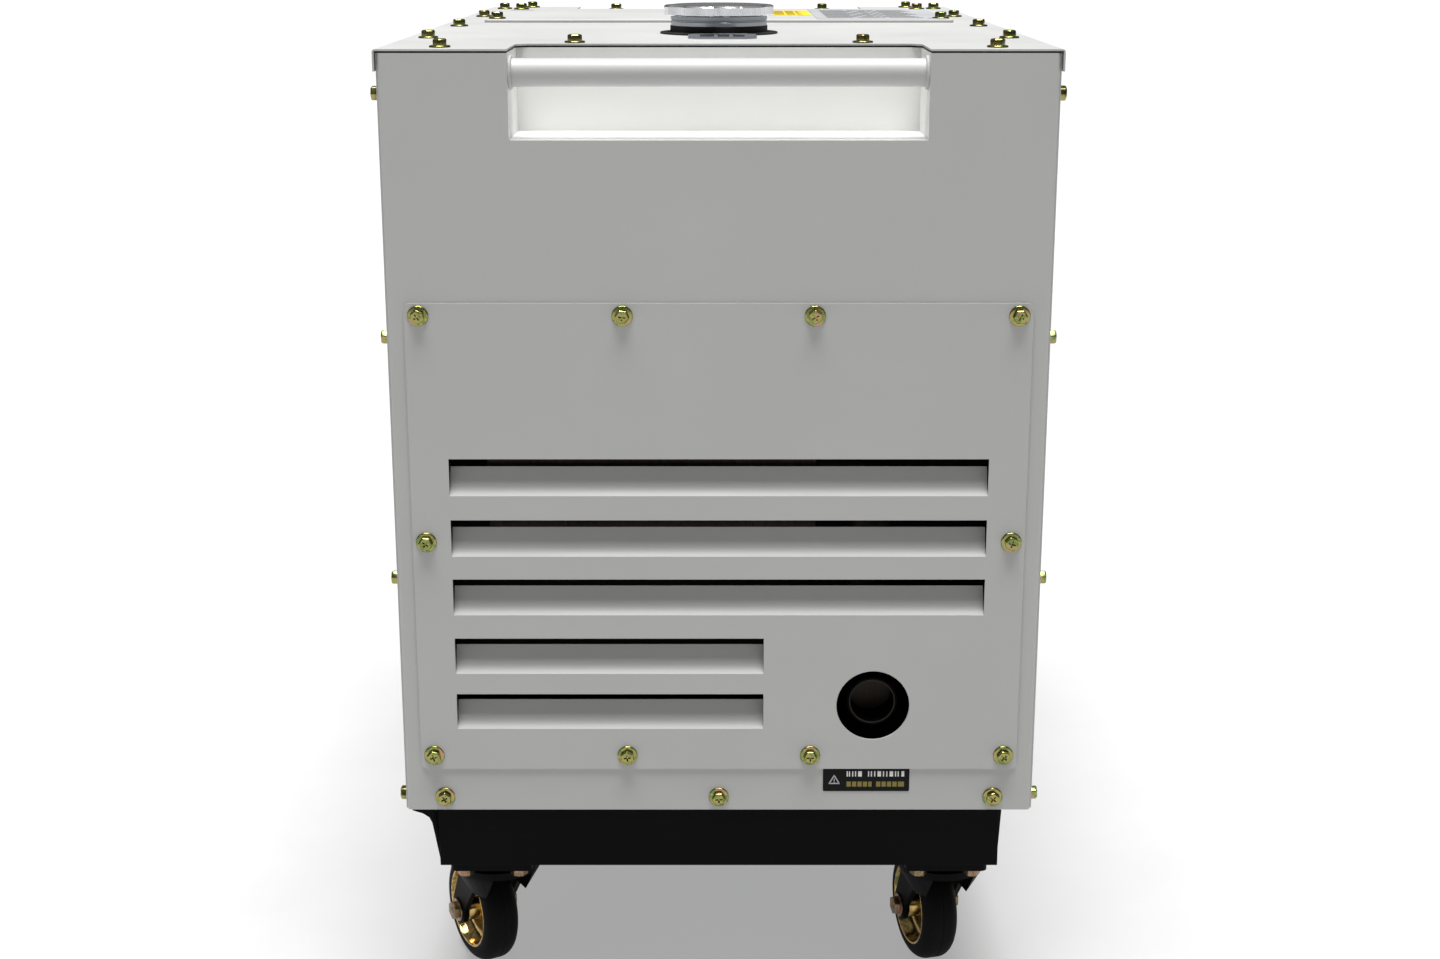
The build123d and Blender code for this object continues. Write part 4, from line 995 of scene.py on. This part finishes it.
class WELDER_OT_handles(bpy.types.Operator):
    """Weld beads where the lifting tubes meet the pocket walls"""
    bl_idname = "welder.handles"
    bl_label = "Lifting tube welds"

    def execute(self, context):
        low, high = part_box("lift_handles")
        reach, height = high[0] - 1.1 * MM, high[2] - 11 * MM
        made = []
        steps = random.Random(5)
        for y in (low[1] + 11 * MM, high[1] - 11 * MM):
            for side in (-1, 1):
                middle = Vector((side * reach, y, height))
                bead = add_ring(middle, "X", 11.6 * MM, 1.7 * MM, 72, 10)
                for vertex in bead.data.vertices:
                    off = vertex.co - middle
                    ripple = math.sin(math.atan2(off.z, off.y) * 26) * 0.18 + steps.uniform(-0.06, 0.06)
                    vertex.co += off.normalized() * ripple * MM
                made.append(smooth(bead, 60))
        finished(join(made), "lift_tube_welds", "weld_bead")
        return {"FINISHED"}


# Places on the dark plate of the control recess, as the machine's own X and Z.
DIAL_FACE = 0.395
METERS = (
    ("current_meter", 150, ("0", "75", "150", "225", "300")),
    ("voltage_meter", 65, ("0", "10", "20", "30", "40")),
)
METER_Z = 635
LAMP_X = -96
LAMPS = (("running_lamp", 662, "lamp_green"), ("warning_lamp", 634, "lamp_amber"))
WELD_SOCKETS = {"a": 170, "b": 90}
WELD_SOCKET_Z = 475
BREAKER = (-45, 555)
SOCKET_SIGN_Z = WELD_SOCKET_Z + 29
EARTH_SIGN = (20, 488)
PRINTED_FRAMES = ((-215, -88, 452, 568), (56, 208, 446, 516), (-215, 215, 572, 573.2))
PRINT_TALL = 0.25


def on_panel(x, z, proud=0.0, turn=0.0):
    """A place on the control plate whose local +Z points out of it and local +Y points up."""
    out = Matrix.Rotation(math.pi, 4, "Z") @ Matrix.Rotation(math.pi / 2, 4, "X")
    return Matrix.Translation((x * MM, DIAL_FACE + proud * MM, z * MM)) @ out @ Matrix.Rotation(turn, 4, "Z")


def on_dial(x, z, radius, angle):
    """A place on a circle round a control, turned to the left from straight up."""
    return on_panel(x, z, 0.05) @ at(-radius * math.sin(angle), radius * math.cos(angle), 0)


def centre_of(node):
    """The middle of a node's front, in millimetres."""
    low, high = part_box(node)
    return (low[0] + high[0]) / 2 / MM, (low[2] + high[2]) / 2 / MM


def meter(x, z, numbers):
    """Bezel, dial card, scale, figures, needle and cover glass of one round meter."""
    bezel = lathe([(27.6, 8.8), (28.6, 11.0), (29.6, 12.6), (31.0, 12.9), (32.0, 12.0), (32.2, 9.0), (32.2, 0.2)], 80)
    card = lathe([(0, 9.3), (26.5, 9.3), (27.8, 9.0)], 48)
    pane = lathe([(0, 11.3), (20, 11.2), (28.2, 10.8), (28.2, 10.2), (0, 10.6)], 48)
    hub = lathe([(0, 11.0), (3.2, 10.9), (3.8, 10.4), (3.8, 9.3)], 32)
    needle = flat_block(-0.45, 0.45, -6, 21, 9.7, 10.1)
    bevel_edges(needle, lambda a, b: min(a.y, b.y) > 20 * MM, 0.35 * MM, 1)
    put(needle, Matrix.Rotation(math.radians(50), 4, "Z"))
    marks = []
    for step in range(41):
        tall = 4.5 if step % 10 == 0 else 3.2 if step % 5 == 0 else 2.0
        tick = flat_block(-0.2, 0.2, 23.5 - tall, 23.5, 9.3, 9.42)
        marks.append(put(tick, Matrix.Rotation(math.radians(50 - 2.5 * step), 4, "Z")))
    for step, number in enumerate(numbers):
        angle = math.radians(50 - 25 * step)
        spot = at(-15.2 * math.sin(angle), 15.2 * math.cos(angle), 9.4)
        marks.append(add_print(number, 4.6 * MM, spot))
    screws = []
    for sx in (-1, 1):
        head = lathe([(0, 2.2), (1.6, 2.1), (2.4, 1.5), (2.6, 0.6), (2.6, 0)], 24)
        screws.append(put(head, at(sx * 36.5, -20, 0)))
    place = on_panel(x, z)
    return [(put(piece, place), look) for piece, look in
            ((join([bezel, hub]), "black_plastic"), (card, "dial_white"), (join(marks), "print_black"),
             (needle, "needle_red"), (pane, "meter_glass"), (join(screws), "steel"))]


class WELDER_OT_controls(bpy.types.Operator):
    """Meters, lamps, hour counter, scales and sockets of the control recess"""
    bl_idname = "welder.controls"
    bl_label = "Controls"

    def execute(self, context):
        for name, x, numbers in METERS:
            for piece, look in meter(x, METER_Z, numbers):
                finished(piece, f"{name}_{look}", look)
        window = plate((-56 * MM, 403 * MM, 589 * MM), (1 * MM, 403.5 * MM, 605 * MM), "Y", 1.5 * MM)
        finished(window, "hour_counter_window", "print_black")
        surround = plate((-61 * MM, 402.6 * MM, 584 * MM), (6 * MM, 403.2 * MM, 610 * MM), "Y", 2.5 * MM)
        finished(surround, "hour_counter_bezel", "black_plastic")
        print_all = [add_print(digit, 10.5 * MM, on_panel(-3.5 - 9.4 * column, 597, 8.55))
                     for column, digit in enumerate("012700")]

        knob_x, knob_z = centre_of("current_knob")
        for step in range(11):
            angle = math.radians(135 - 27 * step)
            tick = flat_block(-0.5, 0.5, 25.5, 29.5, 0, PRINT_TALL)
            print_all.append(put(tick, on_panel(knob_x, knob_z) @ Matrix.Rotation(angle, 4, "Z")))
            print_all.append(add_print(str(step), 6.5 * MM, on_dial(knob_x, knob_z, 34, angle)))
        key_x, key_z = centre_of("key_switch")
        for step in range(3):
            print_all.append(add_print(str(step), 6.5 * MM, on_dial(key_x, key_z, 24, math.radians(-45 * step))))
        for sign, rise in (("1", 9), ("0", -9)):
            print_all.append(add_print(sign, 7 * MM, on_panel(BREAKER[0] + 16, BREAKER[1] + rise, 0.05)))
        plus, minus = WELD_SOCKETS.values()
        earth_x, earth_z = EARTH_SIGN
        strokes = [(plus, SOCKET_SIGN_Z, (-6, 6, -0.9, 0.9)), (minus, SOCKET_SIGN_Z, (-6, 6, -0.9, 0.9)),
                   (plus, SOCKET_SIGN_Z, (-0.9, 0.9, -6, 6)), (earth_x, earth_z, (-0.5, 0.5, 0, 6))]
        strokes += [(earth_x, earth_z - 2.4 * row, (-half, half, -0.5, 0.5)) for row, half in enumerate((5, 3.5, 2))]
        for x, z, bounds in strokes:
            print_all.append(put(flat_block(*bounds, 0, PRINT_TALL), on_panel(x, z)))
        for x0, x1, z0, z1 in PRINTED_FRAMES:
            for sides in ((x0, x1, z0, z0 + 0.8), (x0, x1, z1 - 0.8, z1), (x0, x0 + 0.8, z0, z1),
                          (x1 - 0.8, x1, z0, z1)):
                print_all.append(flat_block(*sides[:2], 395, 395.2, *sides[2:]))
        finished(join(print_all), "control_print", "print_white")

        for name, z, look in LAMPS:
            bezel = lathe([(6.2, 2.2), (6.9, 3.0), (8.0, 3.0), (8.8, 2.0), (9.0, 0)], 40)
            lens = lathe([(0, 7.2), (3.0, 6.8), (5.2, 5.4), (6.2, 3.2), (6.3, 1.6)], 40)
            finished(put(bezel, on_panel(LAMP_X, z)), name + "_bezel", "steel")
            finished(put(lens, on_panel(LAMP_X, z)), name, look)
        stop = lathe([(16.4, 2.6), (17.4, 3.0), (30.0, 2.6), (31.6, 2.0), (32.0, 0)], 72)
        finished(put(stop, on_panel(-150, 630)), "stop_backing", "label_yellow")
        guard = lathe([(8.6, 1.8), (10.5, 2.2), (15.0, 2.0), (16.2, 1.2), (16.4, 0)], 48)
        finished(put(guard, on_panel(key_x, key_z)), "key_escutcheon", "steel")
        collar = lathe([(6.9, 20.6), (10.5, 20.6), (11.4, 19.6), (11.4, 17.5), (17.6, 17.0), (19.6, 15.2),
                        (20.4, 12.6), (20.4, 6.0), (21.8, 4.6), (23.4, 3.6), (23.8, 2.0), (23.8, 0)], 72)
        nut = add_rod((0, 0, 2.4 * MM), "Z", 9.0 * MM, 4.6 * MM, 6)
        bevel_edges(nut, lambda a, b: min(a.z, b.z) > 4.0 * MM, 0.9 * MM, 3)
        washer = lathe([(4.1, 8.2), (10.2, 8.2), (10.8, 7.6), (10.8, 7.2), (10.2, 6.8)], 40)
        for place, x in WELD_SOCKETS.items():
            finished(copied(collar, on_panel(x, WELD_SOCKET_Z)), f"weld_socket_{place}_collar", "black_plastic")
        bpy.data.objects.remove(collar)
        nut = put(join([smooth(nut, 30), washer]), on_panel(20, 465, 8))
        finished(nut, "earth_stud_nut", "brass")
        pins = []
        for spin in (90, 210, 330):
            angle = math.radians(spin)
            pin = lathe([(0, 12.5), (2.1, 12.2), (2.6, 11.2), (2.6, 4.2)], 24)
            pins.append(put(pin, at(13 * math.cos(angle), 13 * math.sin(angle), 0)))
        finished(put(join(pins), on_panel(-140, 510)), "outlet_contacts", "brass")
        return {"FINISHED"}


HINGE_Z = (300, 500, 700)
LATCH_Z = {"upper": 650, "lower": 350}
ALONG_X = Matrix.Rotation(math.pi / 2, 4, "Y")


class WELDER_OT_door(bpy.types.Operator):
    """Rubber seal round the door opening, hinge screws and latch trims"""
    bl_idname = "welder.door"
    bl_label = "Door fittings"

    def execute(self, context):
        low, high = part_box("service_door")
        x, near, far = low[0] - 1.4 * MM, low[1] + 6 * MM, high[1] - 22 * MM
        bottom, top, bead = low[2] + 6 * MM, high[2] - 6 * MM, 1.3 * MM
        seal = [add_rod((x, (near + far) / 2, z), "Y", bead, far - near + 2 * bead) for z in (bottom, top)]
        stops = [bottom] + [(z + side * 26) * MM for z in sorted(LATCH_Z.values()) for side in (-1, 1)] + [top]
        uprights = [(far, bottom, top)] + [(near, start, end) for start, end in zip(stops[::2], stops[1::2])]
        for y, start, end in uprights:
            seal.append(add_rod((x, y, (start + end) / 2), "Z", bead, end - start))
        finished(smooth(join(seal)), "door_seal", "black_rubber", body="door")
        head = lathe([(0, 1.5), (1.8, 1.4), (2.9, 0.9), (3.3, 0.2), (3.3, 0)], 28)
        for side, body, middle, ends in (("case", "chassis", 298, 308), ("door", "door", 272, 282)):
            made = []
            for z in HINGE_Z:
                for rise in (-21, 0, 21):
                    place = at(267, ends if rise else middle, z + rise)
                    made.append(copied(head, place @ ALONG_X))
            finished(join(made), f"hinge_screws_{side}", "steel", body=body)
        bpy.data.objects.remove(head)
        for name, z in LATCH_Z.items():
            trim = lathe([(15.2, 0.0), (17.2, 0.0), (17.6, 0.9), (17.0, 1.6), (15.4, 1.6), (15.2, 0.0)], 64)
            finished(put(trim, at(265.5, -274, z) @ ALONG_X), f"{name}_latch_trim", "steel", body="door")
        return {"FINISHED"}


def vent_cap(x):
    """A battery vent cap with a coin slot."""
    cap = lathe([(0, 3.0), (5.0, 3.0), (5.6, 3.8), (8.6, 3.8), (9.2, 3.2), (9.2, 0)], 32)
    return put(join([cap, flat_block(-5, 5, -0.9, 0.9, 2.8, 3.9)]), at(x, 387, 345))


class WELDER_OT_engine(bpy.types.Operator):
    """Oil filter, dipstick, rocker-cover bolts, air-cleaner clips, alternator straps and battery caps"""
    bl_idname = "welder.engine"
    bl_label = "Engine fittings"

    def execute(self, context):
        canister = lathe([(0, 62), (8, 62), (10, 61), (30, 60), (34, 57), (35, 52), (35, 8), (33, 5), (24, 3),
                          (24, 0)], 64)
        for vertex in canister.data.vertices:
            if vertex.co.z > 50 * MM and math.hypot(vertex.co.x, vertex.co.y) > 29 * MM:
                flute = math.cos(15 * math.atan2(vertex.co.y, vertex.co.x))
                vertex.co.xy *= 1 + 0.02 * flute
        aimed(canister, (105 * MM, -120 * MM, 290 * MM), (1, 0, 0))
        finished(smooth(canister, 40), "oil_filter", "oil_filter")
        stick = lathe([(3.2, -70), (3.2, 0), (5.5, 1), (5.5, 8), (3.0, 10), (0, 10)], 24)
        loop = add_ring((0, 0, 17 * MM), "Y", 7 * MM, 1.8 * MM, 40, 10)
        aimed(join([stick, smooth(loop)]), (88 * MM, -20 * MM, 512 * MM), (0.10, 0.0, 1))
        finished(bpy.context.object, "dipstick", "label_yellow")
        head = lathe([(0, 6.5), (4.2, 6.2), (5.4, 5.0), (5.4, 1.6), (8.0, 1.4), (8.4, 0.8), (8.4, 0)], 36)
        made = [copied(head, at(x, y, 625)) for x in (-44, 44) for y in (-148, -62)]
        made += [copied(head, at(x, y, 592)) for x in (-62, 62) for y in (-164, -46)]
        for turn in range(8):
            angle = math.radians(45 * turn + 22.5)
            spot = Vector((118 * math.cos(angle) * MM, 320 * MM, 340 * MM + 118 * math.sin(angle) * MM))
            made.append(copied(head, Matrix.Translation(spot) @ Matrix.Rotation(-math.pi / 2, 4, "X")))
        bpy.data.objects.remove(head)
        finished(join(made), "engine_bolts", "steel")
        straps = []
        for y in (60, 180, 290):
            band = lathe([(128.2, -9), (129.6, -8.4), (130.0, -7), (130.0, 7), (129.6, 8.4), (128.2, 9)], 96)
            straps.append(aimed(band, (0, y * MM, 340 * MM), (0, 1, 0)))
        finished(join(straps), "alternator_bands", "steel")
        lid = lathe([(62.3, 0), (63.6, 1.2), (64.0, 3.0), (63.6, 12), (62.3, 13)], 72)
        aimed(lid, (-160 * MM, -192 * MM, 540 * MM), (0, 1, 0))
        clips = []
        for turn in (45, 165, 285):
            angle = math.radians(turn)
            clip = flat_block(-5, 5, -186, -150, 62.6, 65.2)
            round_edges(clip, 0.7 * MM, 3)
            clips.append(put(clip, at(-160, 0, 540) @ Matrix.Rotation(angle, 4, "Y")))
        finished(join([lid] + clips), "air_cleaner_lid_band", "steel")
        caps = [vent_cap(x) for x in (-205, -177, -149, -121)]
        finished(join(caps), "battery_vent_caps", "needle_red")
        return {"FINISHED"}


class WELDER_OT_stage(bpy.types.Operator):
    """Pale floor and backdrop, soft lights and the camera"""
    bl_idname = "welder.stage"
    bl_label = "Studio"

    def execute(self, context):
        clear_selection()
        bpy.ops.mesh.primitive_grid_add(x_subdivisions=12, y_subdivisions=12, size=160, location=(0, 0, 0))
        floor = settle(context.object)
        backdrop = Finish("studio_floor")
        grain = backdrop.effect("fine_grain", Scale=40.0)
        drift = backdrop.ranged(grain["Cloud"], 0.0, 1.0)
        backdrop.feed("Base Color", backdrop.mixed(drift, (0.30, 0.30, 0.30), (0.32, 0.32, 0.32)))
        backdrop.fixed(Roughness=0.95, Specular_IOR_Level=0.0, Emission_Color=(1, 1, 1, 1), Emission_Strength=0.36)
        floor.data.materials.append(backdrop.material)
        floor.name = "studio_floor"

        world = bpy.data.worlds.new("studio")
        world.use_nodes = True
        tree = world.node_tree
        soft = tree.nodes["Background"]
        sky_place = add_node(tree, "ShaderNodeTexCoord").outputs["Generated"]
        split = add_node(tree, "ShaderNodeSeparateXYZ", Vector=sky_place)
        greys = ((0.0, 0.10), (0.18, 0.12), (0.42, 0.62), (1.0, 0.75))
        stops = [(place, (grey, grey, grey)) for place, grey in greys]
        tree.links.new(add_ramp(tree, split.outputs["Z"], stops), soft.inputs["Color"])
        soft.inputs["Strength"].default_value = 0.30
        plain = add_node(tree, "ShaderNodeBackground", Color=(1, 1, 1, 1))
        either = add_node(tree, "ShaderNodeMixShader")
        tree.links.new(add_node(tree, "ShaderNodeLightPath").outputs["Is Camera Ray"], either.inputs[0])
        tree.links.new(soft.outputs[0], either.inputs[1])
        tree.links.new(plain.outputs[0], either.inputs[2])
        tree.links.new(either.outputs[0], tree.nodes["World Output"].inputs["Surface"])
        context.scene.world = world
        context.scene.view_settings.view_transform = "Standard"
        overhead = bpy.data.lights.new("overhead", "SUN")
        overhead.energy = 6.6
        overhead.angle = math.radians(40)
        sky = bpy.data.objects.new("overhead", overhead)
        sky.rotation_euler = (math.radians(3), 0, 0)
        context.collection.objects.link(sky)

        camera_data = bpy.data.cameras.new("camera")
        camera_data.lens = 51.63
        camera_data.sensor_width = 36
        camera = bpy.data.objects.new("camera", camera_data)
        camera.location = (0.001, FACE_FRONT - 1.6215, ROOF_TOP + 0.0906)
        camera.rotation_euler = (math.radians(75.03), 0, 0)
        context.collection.objects.link(camera)
        context.scene.camera = camera
        return {"FINISHED"}


OPERATORS = (
    WELDER_OT_finishes, WELDER_OT_edges, WELDER_OT_bolts, WELDER_OT_castors, WELDER_OT_filler, WELDER_OT_labels,
    WELDER_OT_linings, WELDER_OT_exhaust, WELDER_OT_handles, WELDER_OT_controls, WELDER_OT_door,
    WELDER_OT_engine, WELDER_OT_stage,
)


class WELDER_PT_panel(bpy.types.Panel):
    """Lists the steps and the settings"""
    bl_idname = "WELDER_PT_panel"
    bl_label = "Engine driven welder"
    bl_space_type = "VIEW_3D"
    bl_region_type = "UI"
    bl_category = "Welder"

    def draw(self, context):
        for group in (context.scene.welder_colours, context.scene.welder_sizes):
            for name in group.__annotations__:
                self.layout.prop(group, name)
        for step in OPERATORS:
            self.layout.operator(step.bl_idname)


CLASSES = (WelderColours, WelderSizes, *OPERATORS, WELDER_PT_panel)


def register():
    for item in CLASSES:
        bpy.utils.register_class(item)
    bpy.types.Scene.welder_colours = PointerProperty(type=WelderColours)
    bpy.types.Scene.welder_sizes = PointerProperty(type=WelderSizes)


def unregister():
    del bpy.types.Scene.welder_sizes
    del bpy.types.Scene.welder_colours
    for item in reversed(CLASSES):
        bpy.utils.unregister_class(item)


def main():
    register()
    for step in OPERATORS:
        group, name = step.bl_idname.split(".")
        getattr(getattr(bpy.ops, group), name)()


if __name__ == "__main__":
    main()
